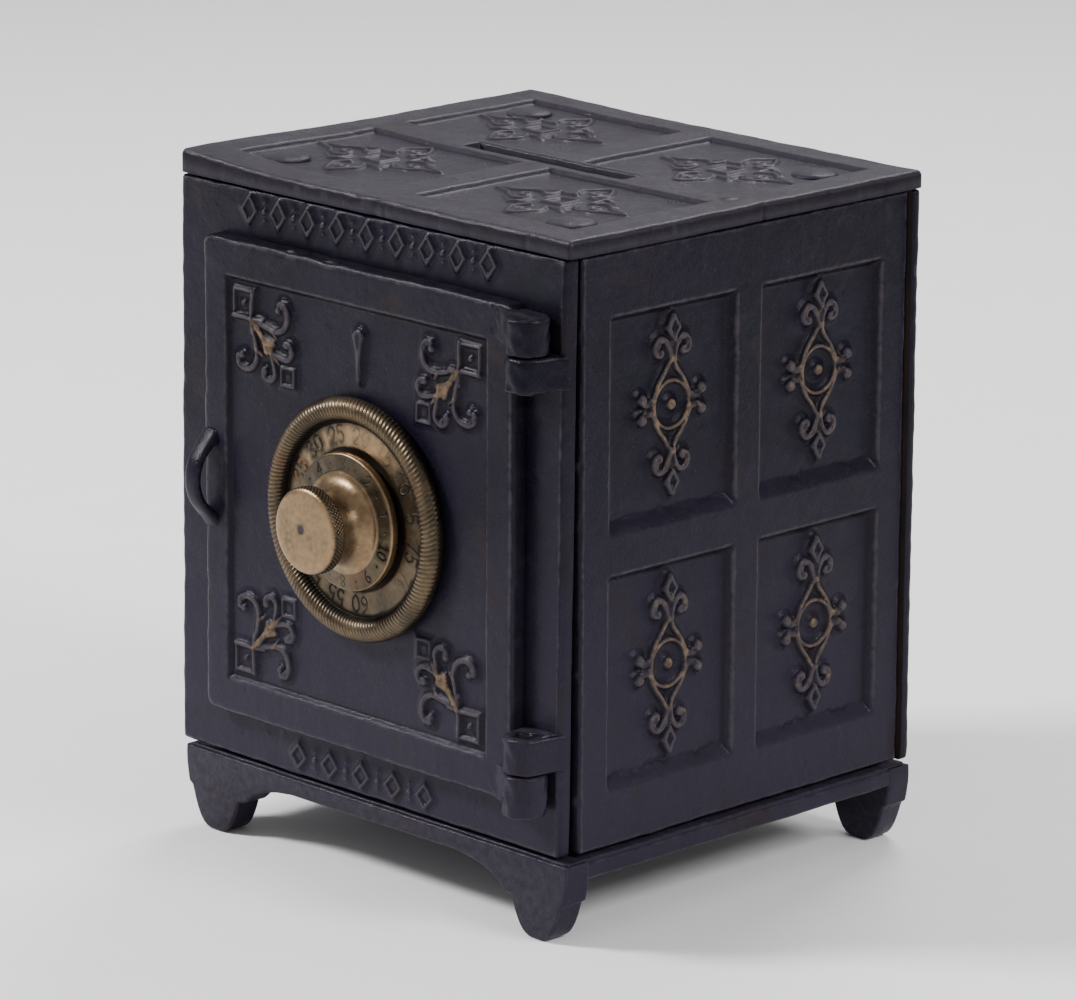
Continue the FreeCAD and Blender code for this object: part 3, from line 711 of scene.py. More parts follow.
# colours of the iron: black lacquer and what shows on, under and through it, with painted light: a
# floor reflection, a top sheen and shade in hollows
LACQUER = (0.0030, 0.0025, 0.0068)
LACQUER_THIN = (0.0066, 0.0054, 0.0128)
LACQUER_DULLED = (0.0150, 0.0124, 0.0210)
LACQUER_FLOOR_REFLECTION = (0.0185, 0.0160, 0.0275)
LACQUER_TOP_SHEEN = (0.0300, 0.0265, 0.0350)
LACQUER_BROWN = (0.0160, 0.0100, 0.0095)
LACQUER_WORN = (0.054, 0.046, 0.052)
HOLLOW_SHADE = (0.0060, 0.0048, 0.0050)
DUST_SPECK = (0.068, 0.062, 0.074)
GILT_DARK, GILT = (0.052, 0.036, 0.021), (0.155, 0.105, 0.062)
INSIDE_BLACK, INSIDE_BROWN = (0.012, 0.010, 0.011), (0.026, 0.018, 0.015)
RUST_GRAIN = (0.055, 0.032, 0.022)

# colours of the brass and the steel
BRASS_FILM, BRASS_FILM_DARK = (0.098, 0.072, 0.044), (0.046, 0.037, 0.026)
BRASS_BLOTCH, BRASS_STAIN = (0.040, 0.031, 0.024), (0.105, 0.052, 0.028)
BRASS_BRIGHT, BRASS_GRIME_SHADE = (0.31, 0.200, 0.108), (0.012, 0.010, 0.008)
STEEL_DARK, STEEL_GREY, STEEL_RUST = ((0.022, 0.019, 0.020), (0.055, 0.047, 0.046),
                                      (0.040, 0.020, 0.015))


def layer(tree, base, colour, driver, low, high, amount=1.0):
    """Lay a colour over a base: none of it where the driver is at low, amount of it at high."""
    return mix(tree, remap(tree, driver, low, high, 0.0, amount), base, colour)


def japanned_iron():
    """Black lacquer on cast iron: worn crests, gold on the relief, painted shade in the hollows.
    """
    material, tree, shader = new_material("japanned_iron")
    cloud = noise(tree, 30, 5, 0.6, 0.3)
    mottle = noise(tree, 190, 6, 0.7, 0.5)
    grain = noise(tree, 480, 6, 0.65)
    speck = noise(tree, 2300, 3, 0.75)
    flakes = noise(tree, 520, 6, 0.75, 0.5)
    edge = field(tree, "edge")
    colour = layer(tree, LACQUER, LACQUER_THIN, cloud, 0.3, 0.7)
    colour = layer(tree, colour, LACQUER_DULLED, mottle, 0.50, 0.74, 0.65)
    # painted reflection of the floor: the iron lightened towards the bottom
    colour = layer(tree, colour, LACQUER_FLOOR_REFLECTION, upright(tree), 0.12, 0.02, 0.85)
    # painted sheen: the top of the case lightened as if catching light from above
    colour = layer(tree, colour, LACQUER_TOP_SHEEN, upright(tree), 0.1475, 0.149, 0.7)
    colour = layer(tree, colour, LACQUER_BROWN, noise(tree, 55, 6, 0.7, 0.5), 0.54, 0.70, 0.6)
    colour = layer(tree, colour, LACQUER_WORN, plus(tree, edge, grain, 0.6), 0.93, 1.3, 0.7)
    # painted shade: darker where the edge field dips, in hollows and corners
    colour = layer(tree, colour, HOLLOW_SHADE, plus(tree, edge, cloud, 0.25), 0.52, 0.2, 0.7)
    colour = layer(tree, colour, DUST_SPECK, speck, 0.56, 0.78, 0.42)
    kept = remap(tree, plus(tree, field(tree, "gilt"), flakes, 1.7), 1.36, 1.92)
    gold = layer(tree, GILT_DARK, GILT, grain, 0.35, 0.65)
    link(tree, mix(tree, kept, colour, gold), shader.inputs["Base Color"])
    gloss = remap(tree, noise(tree, 110, 6, 0.65, 0.2), 0.25, 0.75, 0.22, 0.46)
    matt = plus(tree, remap(tree, mottle, 0.5, 0.75, 0.0, 0.12), kept, 0.2)
    link(tree, maths(tree, "ADD", gloss, matt), shader.inputs["Roughness"])
    fill(shader, {"Specular IOR Level": 0.045, "Specular Tint": (0.88, 0.80, 1.0, 1.0),
                  "Coat Weight": 0.14, "Coat Roughness": 0.13,
                  "Coat Tint": (0.94, 0.90, 1.0, 1.0)})
    bumps(tree, shader, [(noise(tree, 160, 5, 0.6), 0.45, 0.00035), (mottle, 0.35, 0.00025),
                         (grain, 0.55, 0.0002), (speck, 0.7, 0.00012)])
    return material


def raw_iron():
    """Inner faces of the castings, thinly blacked and brown with age."""
    material, tree, shader = new_material("raw_iron")
    cloud = noise(tree, 40, 6, 0.65, 0.4)
    grain = noise(tree, 700, 5, 0.7)
    base = layer(tree, INSIDE_BLACK, INSIDE_BROWN, cloud, 0.3, 0.7)
    link(tree, layer(tree, base, RUST_GRAIN, grain, 0.6, 0.8), shader.inputs["Base Color"])
    fill(shader, {"Specular IOR Level": 0.25})
    link(tree, remap(tree, grain, 0.2, 0.8, 0.6, 0.85), shader.inputs["Roughness"])
    bumps(tree, shader, [(cloud, 0.4, 0.0008), (grain, 0.4, 0.0002)])
    return material


def aged_brass():
    """Handled brass: polished crests, brown film, dark grime and painted shade in the hollows."""
    material, tree, shader = new_material("aged_brass")
    cloud = noise(tree, 90, 5, 0.6, 0.5)
    blotch = noise(tree, 330, 6, 0.7, 0.6)
    grain = noise(tree, 900, 5, 0.65)
    edge = field(tree, "edge")
    film = layer(tree, BRASS_FILM, BRASS_FILM_DARK, cloud, 0.35, 0.68)
    film = layer(tree, film, BRASS_BLOTCH, blotch, 0.5, 0.7, 0.7)
    film = layer(tree, film, BRASS_STAIN, noise(tree, 150, 4, 0.6, 0.6), 0.54, 0.68, 0.5)
    film = layer(tree, film, BRASS_BRIGHT, plus(tree, edge, grain, 0.3), 0.7, 1.05, 0.85)
    # grime in the sunk numbers and dent, painted shade in the grooves: dark where the edge field
    # is low
    grime_and_shade = remap(tree, plus(tree, edge, cloud, 0.3), 0.6, 0.3, 0.0, 0.9)
    link(tree, mix(tree, grime_and_shade, film, BRASS_GRIME_SHADE), shader.inputs["Base Color"])
    fill(shader, {"Metallic": 0.85, "Specular IOR Level": 0.3})
    rough = remap(tree, noise(tree, 260, 6, 0.65), 0.25, 0.75, 0.24, 0.46)
    link(tree, plus(tree, rough, grime_and_shade, 0.25), shader.inputs["Roughness"])
    bumps(tree, shader, [(noise(tree, 240, 5, 0.6), 0.35, 0.00025), (blotch, 0.3, 0.00015),
                         (grain, 0.3, 0.0001)])
    return material


def dark_steel():
    """Dull steel of the pins, spindles and wheels, browned in patches."""
    material, tree, shader = new_material("dark_steel")
    cloud = noise(tree, 120, 5, 0.6, 0.4)
    grain = noise(tree, 1100, 4, 0.6)
    base = layer(tree, STEEL_DARK, STEEL_GREY, cloud, 0.35, 0.7)
    rusty = layer(tree, base, STEEL_RUST, noise(tree, 260, 5, 0.7), 0.52, 0.66)
    link(tree, rusty, shader.inputs["Base Color"])
    fill(shader, {"Metallic": 0.75})
    link(tree, remap(tree, grain, 0.25, 0.75, 0.38, 0.6), shader.inputs["Roughness"])
    bumps(tree, shader, [(grain, 0.25, 0.0001)])
    return material


def floor_paper():
    """Pale paper with a faint fibre."""
    material, tree, shader = new_material("pale_floor")
    paper = mix(tree, noise(tree, 60, 4, 0.5), (0.86, 0.86, 0.86), (0.9, 0.9, 0.9))
    link(tree, paper, shader.inputs["Base Color"])
    fill(shader, {"Roughness": 0.9})
    return material


IRON = japanned_iron()
RAW = raw_iron()
BRASS = aged_brass()
STEEL = dark_steel()


# ---------------------------------------------------------------- plates

def panel_depth(relief, panels, sink, draft):
    """How deep the sunk panels lie; draft is the wall's width at left, right, low and high."""
    depth = np.zeros_like(relief.u)
    for left, right, low, high in panels:
        ways = [(relief.u - left) / draft[0], (right - relief.u) / draft[1],
                (relief.v - low) / draft[2], (high - relief.v) / draft[3]]
        # a power sum of the four walls rounds the corners between them
        short = sum(np.clip(1 - way, 0, 1.5) ** 5 for way in ways) ** 0.2
        ramp = np.clip(1 - short, 0, 1)
        depth = np.maximum(depth, sink * (0.15 * ramp + 0.85 * smooth(ramp)))
    return depth


def foot_crack(relief, panels, width):
    """Uneven crease along the foot of each sunk panel's sloping lower wall."""
    deep, half, clear = 0.28, 0.4, 1.5
    total = np.zeros_like(relief.u)
    for left, right, low, _ in panels:
        line = low + width + 0.35 * np.sin(relief.u * 0.7 + low) + 0.2 * np.sin(relief.u * 1.9)
        along = smooth((relief.u - left - clear) / 2) * smooth((right - clear - relief.u) / 2)
        broken = smooth(0.6 + np.sin(relief.u * 0.43 + right) * 0.6)
        total += deep * along * broken * np.exp(-((relief.v - line) / half) ** 2)
    return total


def outline_drop(relief, radius=EDGE_ROUND):
    """Rounding of a plate's outer edges, worn unevenly."""
    gap = np.minimum(np.minimum(relief.u - relief.us[0], relief.us[-1] - relief.u),
                     np.minimum(relief.v - relief.vs[0], relief.vs[-1] - relief.v))
    worn_back = 0.08 - waviness(relief.u, relief.v, seed=5, size=7, amount=0.06)
    return edge_drop(np.maximum(gap - worn_back, 0), radius)


def cast_skin(relief, seed):
    """Waviness, small lumps and pits left by the sand mould."""
    blemishes, margin = 70, 2
    skin = waviness(relief.u, relief.v, seed, size=22, amount=0.03)
    skin += waviness(relief.u, relief.v, seed + 1, size=6, amount=0.012)
    random = np.random.RandomState(seed + 2)
    for _ in range(blemishes):
        centre = (random.uniform(relief.us[0] + margin, relief.us[-1] - margin),
                  random.uniform(relief.vs[0] + margin, relief.vs[-1] - margin))
        radius = random.uniform(0.35, 0.9)
        amount = random.choice([-0.12, -0.08, 0.06, 0.1])
        where, du, dv = relief.around(centre, radius * 2.5)
        skin[where] += amount * np.exp(-(np.hypot(du, dv) / radius) ** 2)
    return skin


def edge_windows(start, stop, reach=EDGE_REACH, spacing=EDGE_GRID):
    """Grid windows for a plate's own two edges."""
    return [(start, start + reach, spacing), (stop - reach, stop, spacing)]


def panel_windows(pairs, start, stop, reach=1.9):
    """Grid windows for the plate's own edges and for the panels' drafted walls."""
    return edge_windows(start, stop) + [(edge - reach, edge + reach, DRAFT_GRID)
                                        for pair in pairs for edge in pair]


def centre_windows(centres, reach, spacing):
    """Grid windows that reach both ways from some centres."""
    return [(centre - reach, centre + reach, spacing) for centre in centres]


def make_wall(name, node, origin, across, u_range, columns, depth, seed, sink=2.0, skew=None):
    """A wall with four sunk panels, each with a ringed scroll ornament."""
    low_rise, high_rise = 0.9, 1.75
    foot_draft, draft = 3.6, 2.0
    scroll_half, scroll_reach = 11.2, 20.2
    centres_u = [(a + b) / 2 for a, b in columns]
    centres_v = [(a + b) / 2 + rise for (a, b), rise in zip(WALL_ROWS, (low_rise, high_rise))]
    u_windows = (panel_windows(columns, *u_range)
                 + centre_windows(centres_u, scroll_half, ORNAMENT_GRID))
    v_windows = (panel_windows(WALL_ROWS, WALL_LOW, WALL_HIGH)
                 + centre_windows(centres_v, scroll_reach, ORNAMENT_GRID)
                 + [(low, low + foot_draft + 1, DRAFT_GRID) for low, _ in WALL_ROWS])
    relief = Relief(grid_lines(*u_range, u_windows), grid_lines(WALL_LOW, WALL_HIGH, v_windows))
    for cu in centres_u:
        for cv in centres_v:
            side_scroll(relief, (cu, cv))
    panels = [(*column, *row) for column in columns for row in WALL_ROWS]
    surface = (relief.height - panel_depth(relief, panels, sink, (draft, draft, foot_draft, draft))
               - foot_crack(relief, panels, foot_draft - 0.4) - outline_drop(relief)
               + cast_skin(relief, seed))
    piece = plate(name, origin, across, (0, 0, 1), relief, surface, depth, [IRON, RAW],
                  skew=skew)
    stand_for(piece, "case", node)


def towards_foot(v):
    """0 at the walls' top and 1 at their foot."""
    return (WALL_HIGH - v) / (WALL_HIGH - WALL_LOW)


def make_sides():
    def lean(side, amount):
        """A front edge that stands back from the front frame, more towards the foot."""
        def skew(u, v):
            return side * amount * np.exp(-np.maximum(side * u + 47.4, 0) / 4) * towards_foot(v)
        return skew

    thick = 4.0
    make_wall("right_side_wall", "right_side", (span("right_side")[1][0], MID_Y, 0), (0, 1, 0),
              (WALL_FRONT, WALL_REAR), SIDE_COLUMNS, thick, 11, skew=lean(1, 0.4))
    make_wall("left_side_wall", "left_side", (span("left_side")[0][0], MID_Y, 0), (0, -1, 0),
              (-WALL_REAR, -WALL_FRONT), [(-b, -a) for a, b in reversed(SIDE_COLUMNS)], thick,
              23, skew=lean(-1, 0.6))
    half, back_thick, proud = 59.4, 2.6, 0.2
    make_wall("back_wall", "back_plate", (0, span("back_plate")[1][1] + proud, 0), (-1, 0, 0),
              (-half, half), BACK_COLUMNS, back_thick, 37, sink=1.6)


def make_top():
    left, right = TOP_LOW[0] - 0.9, TOP_HIGH[0]
    front, rear = TOP_LOW[1] - MID_Y, TOP_HIGH[1] - MID_Y
    leaf_across, leaf_along = 20.0, 16.4
    slot_round, slot_corner = 0.7, 0.6
    u_windows = (panel_windows(TOP_COLUMNS, left, right, 2.0)
                 + centre_windows([u for u, _ in ROSETTE_CENTRES], leaf_across, TOP_GRID)
                 + centre_windows(TOP_SLOT[:2], 0.8, EDGE_GRID))
    v_windows = (panel_windows(TOP_ROWS, front, rear)
                 + centre_windows([v for _, v in ROSETTE_CENTRES], leaf_along, TOP_GRID)
                 + centre_windows(TOP_SLOT[2:], 0.9, EDGE_GRID))
    relief = Relief(grid_lines(left, right, u_windows), grid_lines(front, rear, v_windows), 0.08)
    for centre in ROSETTE_CENTRES:
        top_rosette(relief, centre)

    def seam(u, v):
        """A casting seam, notched into the right edge."""
        return -0.5 * np.exp(-((v - 4.2) / 0.35) ** 2) * np.exp((u - right) / 0.8)

    panels = [(*column, *row) for column in TOP_COLUMNS for row in TOP_ROWS]
    depth = panel_depth(relief, panels, 1.05, (1.3, 1.3, 1.3, 1.3))
    surface = relief.height - depth - outline_drop(relief, 1.1) + cast_skin(relief, 51) * 1.3
    slot_gap = box_distance(relief.u, relief.v, *TOP_SLOT, slot_corner)
    surface -= edge_drop(np.maximum(slot_gap, 0), slot_round) * (slot_gap < slot_round)
    # a cast lump by the seam, with a shallow ditch around it
    lump = np.hypot(relief.u - 52, relief.v - 2.0)
    surface += 0.45 * np.exp(-(lump / 1.6) ** 2) - 0.15 * np.exp(-((lump - 2.4) / 0.8) ** 2)
    # the plate is bent up to the left, most at its front corner
    warp = 0.65 * smooth((-relief.u - 20) / 40)
    warp += 0.9 * smooth((-relief.u - 38) / 22) * np.exp(-((relief.v + 42) / 22) ** 2)
    surface = np.minimum(surface, 0.25) + warp
    piece = plate("top_casting", (0, MID_Y, TOP_HIGH[2] - 0.2), (1, 0, 0), (0, 1, 0), relief,
                  surface, 3.8, [IRON, RAW], hole=TOP_SLOT, corner=1.2, uneven=0.13, skew=seam)
    rim = locating_rim("top_rim", TOP_LOW[2], TOP_LOW[2] + 2.55)
    stand_for(join("top_casting", [piece, rim]), "case", "top_plate")


def locating_rim(name, low, high):
    """An upright square band inside the walls, on the base or under the top plate."""
    x_half, wall = 54.1, 2.5
    front, back = MID_Y - 48.0, MID_Y + WALL_REAR - 0.7

    def loop(inset, level):
        return [(-x_half + inset, front + inset, level), (x_half - inset, front + inset, level),
                (x_half - inset, back - inset, level), (-x_half + inset, back - inset, level)]
    rings = [loop(0, low), loop(0, high), loop(wall, high), loop(wall, low)]
    piece = fix_normals(loft(name, rings, [RAW], closed_path=True))
    piece.data.set_sharp_from_angle(angle=SHARP)
    return piece


# ---------------------------------------------------------------- front frame and hinges

def plan(a, b, level):
    """A plan outline's point at a height."""
    return (a, b, level)


def elevation(a, b, level):
    """A front outline's point at a depth."""
    return (a, level, b)


def blended(value, start, stop, first, last):
    """From first to last while value runs from start to stop."""
    return first + (last - first) * smooth((value - start) / (stop - start))


def lumpy(points):
    """Hand-fettled casting lumps, a few millimetres across."""
    x, y, z = points.T
    swell = np.sin(x * 1.9 + z * 0.8) + np.sin(y * 2.3 - z * 1.1) + np.sin(z * 1.6 + x)
    return points + 0.1 * np.stack([swell * 0.5, swell, swell * 0.2], -1)


def knuckle_shape(level_low, level_high, flat_low, flat_high):
    """Slide an arm's lower and upper ends from the door's border to its knuckle."""
    def shape(points):
        ramp = points[:, 0], HINGE[0] - 12.5, HINGE[0] - 4.5
        low = blended(*ramp, flat_low, level_low)
        high = blended(*ramp, flat_high, level_high)
        share = (points[:, 2] - level_low) / (level_high - level_low)
        moved = points.copy()
        moved[:, 2] = low + share * (high - low)
        return lumpy(moved)
    return shape


def door_arm(name, low, high, flat_low, flat_high, bore_low, bore_high):
    """A door knuckle with the concave arm that carries it out from the border.

    low and high are the knuckle's ends, flat_low and flat_high the arm's at the border.
    """
    bend, root, inner = 8.78, DOOR_FACE + 1.5, HINGE[0] - 5.6
    start = HINGE[0] - 10.96
    outline = ([(start - 0.8, root), (start - 0.8, DOOR_FACE + 0.02)]
               + arc((start, DOOR_FACE - bend), bend, 90, 35, 12)
               + arc(HINGE, KNUCKLE, 216, 448, 40)
               + [(inner, HINGE[1] + KNUCKLE), (inner, root)])
    piece = extruded(name, outline, low, high, plan, 0.7,
                     shape=knuckle_shape(low, high, flat_low, flat_high))
    cut_bore(piece, HINGE, PIN_BORE, bore_low, bore_high)
    return piece


def frame_knuckle(name, low, high):
    """A knuckle on the front frame with the web that joins it to the plate."""
    web = [(5.3, -1.1), (6.1, -0.2), (6.5, 0.6), (-5.4, 0.6), (-4.9, -0.9)]
    outline = (arc(HINGE, KNUCKLE, 180, 340, 32)
               + [(HINGE[0] + x, FRAME_FACE + y) for x, y in web])
    piece = extruded(name, outline, low, high, plan, 0.75, shape=lumpy)
    cut_bore(piece, HINGE, PIN_BORE, low - 1, high + 1)
    return piece


def make_front_frame():
    left, right, low, high = OPENING
    edge_left, edge_right = FRAME_LOW[0] - 1.2, FRAME_HIGH[0] - 1.6
    upper_band, lower_band = (-38.0, 36.0, 140.4, 146.2), (-23.0, 17.0, 21.2, 26.4)
    strip, spacing, band_spacing = 0.6, 0.3, 0.28
    u_windows = (edge_windows(edge_left, edge_right)
                 + edge_windows(left - strip, right + strip, strip, spacing)
                 + [(-42, 41, spacing)])
    v_windows = (edge_windows(WALL_LOW, WALL_HIGH)
                 + edge_windows(low - strip, high + strip, strip, spacing)
                 + [(20.4, 27.4, band_spacing), (139.2, 147, band_spacing)])
    relief = Relief(grid_lines(edge_left, edge_right, u_windows),
                    grid_lines(WALL_LOW, WALL_HIGH, v_windows))

    def sway(u, v):
        """Both upright edges run a little to the left towards the foot."""
        near = np.exp(-(u - edge_left) / 5.0) * 1.3 + np.exp(-(edge_right - u) / 3.0) * 1.4
        return -near * towards_foot(v)

    band_marks(relief, *upper_band, 17)
    band_marks(relief, *lower_band, 9)
    surface = relief.height - outline_drop(relief) + cast_skin(relief, 71)
    piece = plate("frame_plate", (0, FRAME_FACE, 0), (1, 0, 0), (0, 0, 1), relief, surface,
                  3.7, [IRON, RAW], hole=OPENING, skew=sway)
    # undersides of the CAD's two brackets; the cast ones sit a little higher, as in the photo
    lower, upper = PIN_LOW[2] + 7.4, UPPER_PIN_HIGH[2] - 15.1
    brackets = [frame_knuckle("upper_bracket", upper + 0.8, upper + 8.1),
                frame_knuckle("lower_bracket", lower + 2.3, lower + 10.2)]
    stand_for(join("frame_casting", [piece, *brackets]), "case", "front_frame")


# ---------------------------------------------------------------- door

def finger_pull():
    """The bow at the door's left border, flat in section, its feet drawn out into the border."""
    middle = DIAL_Z + 0.3
    centre_x = DOOR_LOW[0] + 2.2
    # the bow's upper half as (depth, height over its middle)
    half_run = [(DOOR_FACE + 0.8, 9.7), (DOOR_FACE - 0.3, 8.7), (DOOR_FACE - 2.0, 7.1),
                (DOOR_FACE - 3.9, 4.8), (PULL_APEX + 0.3, 2.3), (PULL_APEX, 0.0)]
    path = spline([(y, middle - z) for y, z in half_run]
                  + [(y, middle + z) for y, z in half_run[-2::-1]], 5)
    along = np.gradient(path, axis=0)
    along /= np.linalg.norm(along, axis=1)[:, None]
    across_bar = np.stack([-along[:, 1], along[:, 0]], -1)
    share = np.abs(np.linspace(-1, 1, len(path)))
    # half sizes of the flat bar, thicker and wider towards its feet
    half_thick = 0.95 + 0.75 * share ** 3
    half_wide = 2.2 + 0.5 * share ** 3
    angles = np.linspace(0, 2 * math.pi, 20, endpoint=False)
    rings, wear = [], []
    for point, normal, half, wide in zip(path, across_bar, half_thick, half_wide):
        broad = np.sign(np.cos(angles)) * np.abs(np.cos(angles)) ** 0.7 * wide
        thin = np.sign(np.sin(angles)) * np.abs(np.sin(angles)) ** 0.8 * half
        rings.append(np.stack([centre_x + broad, point[0] + normal[0] * thin,
                               point[1] + normal[1] * thin], -1))
        wear += list(NEUTRAL + 0.22 * np.abs(np.cos(angles)))
    return fix_normals(loft("finger_pull", rings, [IRON], fields={"edge": wear}))


def pointer_mark(relief):
    """Raised drop over the dial, round above and pointed below."""
    relief.stroke([(0, 122.2), (0.1, 119.0), (0, 112.6)], 1.75, 1.35, 0.1, 1.0, tip=0.35)


def door_slab(left, right, low, high):
    """The door's front plate: raised border, sunk field, corner scrolls and pointer mark."""
    f_left, f_right, f_low, f_high = FIELD
    inset, back, reach = 5.7, 4.6, 18.2      # of a corner's big square, and its grid window
    across = [(f_left + inset, 1), (f_right - inset, -1)]
    levels = [(f_low + inset, 1), (f_high - inset, -1)]
    u_windows = panel_windows([FIELD[:2]], left, right, 1.8)
    v_windows = panel_windows([FIELD[2:]], low, high, 1.8)
    for windows, marks in ((u_windows, across), (v_windows, levels)):
        for at, way in marks:
            windows.append((*sorted((at - way * back, at + way * reach)), ORNAMENT_GRID))
    u_windows += [(-3.4, 3.4, 0.3), (*DIAL_BORE[:2], 0.9)]
    v_windows += [(*DIAL_BORE[2:], 0.9)]
    relief = Relief(grid_lines(left, right, u_windows), grid_lines(low, high, v_windows))
    for at_u, way_u in across:
        for at_v, way_v in levels:
            corner_scroll(relief, (at_u, at_v), way_u, way_v)
    pointer_mark(relief)
    depth = panel_depth(relief, [FIELD], 1.2, (1.4, 1.4, 1.2, 1.4))
    surface = relief.height - depth - outline_drop(relief, 1.1) + cast_skin(relief, 91)
    return plate("door_slab", (0, DOOR_FACE, 0), (1, 0, 0), (0, 0, 1), relief, surface,
                 3.8, [IRON, RAW], hole=DIAL_BORE, corner=2.4, uneven=0.1)


def door_plug():
    """The raised back of the door that fills the frame's opening."""
    clear, edge, spacing = 0.7, 1.0, 0.3
    across = (-OPENING[1] + clear, -OPENING[0] - clear)
    upwards = (OPENING[2] + clear, OPENING[3] - clear)
    bore = (-DIAL_BORE[1], -DIAL_BORE[0], *DIAL_BORE[2:])
    relief = Relief(*(grid_lines(*ends, [(*hole, 1.0)] + edge_windows(*ends, edge, spacing))
                      for ends, hole in ((across, bore[:2]), (upwards, bore[2:]))))
    rough = cast_skin(relief, 95) * 1.5 - outline_drop(relief, 0.7)
    return plate("door_plug", (0, PLUG_FACE, 0), (-1, 0, 0), (0, 0, 1), relief, rough,
                 3.3, [RAW, RAW], hole=bore)


def make_door():
    low, high = DOOR_BOTTOM, DOOR_HIGH[2]
    slab = door_slab(DOOR_LOW[0], DOOR_RIGHT, low, high)
    plug = door_plug()
    # undersides of the CAD's two door knuckles, and the field's edges that the arms run to
    upper_low, lower_low = UPPER_PIN_HIGH[2] - 7.3, DOOR_LOW[2]
    field_top, field_bottom = FIELD[3] - 0.1, FIELD[2] - 0.1
    upper = door_arm("upper_arm", upper_low + 0.7, upper_low + 8.6, field_top, high - 0.15,
                     upper_low - 1, UPPER_PIN_HIGH[2] + 0.1)
    lower = door_arm("lower_arm", lower_low + 2.2, lower_low + 11.3, low + 0.1, field_bottom,
                     PIN_LOW[2] - 0.1, lower_low + 12)
    whole = join("door_casting", [slab, plug, upper, lower, finger_pull()])
    stand_for(whole, "door", "door")


# ---------------------------------------------------------------- base

def foot_outline(side):
    """A foot from the rail's middle outwards: cove, step, toe and outer corner."""
    centre, toe_half, toe_top, fullness = 50.6, 7.4, 8.0, 3.2
    points = [(26.0, 13.9), (31.0, 13.3), (35.0, 12.4), (37.6, 11.3), (39.4, 10.1), (40.7, 8.9),
              (41.4, 8.4)]
    for share in np.linspace(-1, 1, 21):
        points.append((centre + toe_half * share, toe_top * abs(share) ** fullness))
    points += [(58.3, 8.8), (59.3, 9.5), (59.7, 11.2)]
    return [(side * x, z) for x, z in points]


def make_base():
    half, top, thick = BASE_HIGH[0], 18.0, 6.8
    front_face, rear_face = BASE_LOW[1], BASE_HIGH[1]
    outline = (list(reversed(foot_outline(-1))) + foot_outline(1)
               + [(half - 0.1, 14.0), (half, 16.0), (half - 0.2, top), (20.0, top + 0.05),
                  (-25.0, top - 0.05), (-half + 0.2, top), (-half, 16.0), (-half + 0.1, 14.0)])

    def left_swell(points, amount):
        """The left side of the base stands out a little."""
        return amount * smooth((-points[:, 0] - 35) / 20)

    def rail(name, low, high, face, way):
        def shape(points):
            moved = points.copy()
            moved[:, 0] -= left_swell(points, 0.8)
            skin = (points[:, 1] - face) * way < 1.0
            moved[:, 1] += 0.12 * np.sin(points[:, 0] * 0.3) * skin
            return moved
        return extruded(name, outline, low, high, elevation, 0.7, 5, shape)

    def floor_plan(inset, corner):
        """A rectangle with round corners, in steps short enough to follow the unevenness."""
        points = []
        for sx, sy, start in ((1, 1, 0), (-1, 1, 90), (-1, -1, 180), (1, -1, 270)):
            centre = (sx * (half - inset - corner),
                      (front_face + rear_face) / 2
                      + sy * ((rear_face - front_face) / 2 - inset - corner))
            points += arc(centre, corner, start, start + 90, 6)
        dense = []
        for a, b in zip(points, points[1:] + points[:1]):
            count = max(1, int(np.hypot(b[0] - a[0], b[1] - a[1]) / 2.5))
            for t in np.linspace(0, 1, count, endpoint=False):
                dense.append((a[0] + (b[0] - a[0]) * t, a[1] + (b[1] - a[1]) * t))
        return dense

    def uneven(points):
        x, y = points[:, 0], points[:, 1]
        moved = points.copy()
        moved[:, 0] += 0.13 * np.sin(y * 0.27 + 1) + 0.07 * np.sin(y * 0.8)
        moved[:, 1] += 0.1 * np.sin(x * 0.31) + 0.06 * np.sin(x * 0.9)
        moved[:, 0] -= left_swell(points, 0.7)
        return moved

    rails = [rail("front_rail", front_face, front_face + thick, front_face, 1),
             rail("rear_rail", rear_face - thick, rear_face, rear_face, -1)]
    apron = extruded("apron", floor_plan(0.2, 1.2), 14.0, 17.7, plan, 0.8, 4, uneven)
    ledge = extruded("ledge", floor_plan(0.75, 1.0), 17.0, 18.45, plan, 0.5, 3, uneven)
    rim = locating_rim("base_rim", 17.5, BASE_HIGH[2])
    whole = join("base_casting", [*rails, apron, ledge, rim])
    stand_for(whole, "case", "base")


# ---------------------------------------------------------------- turned pieces

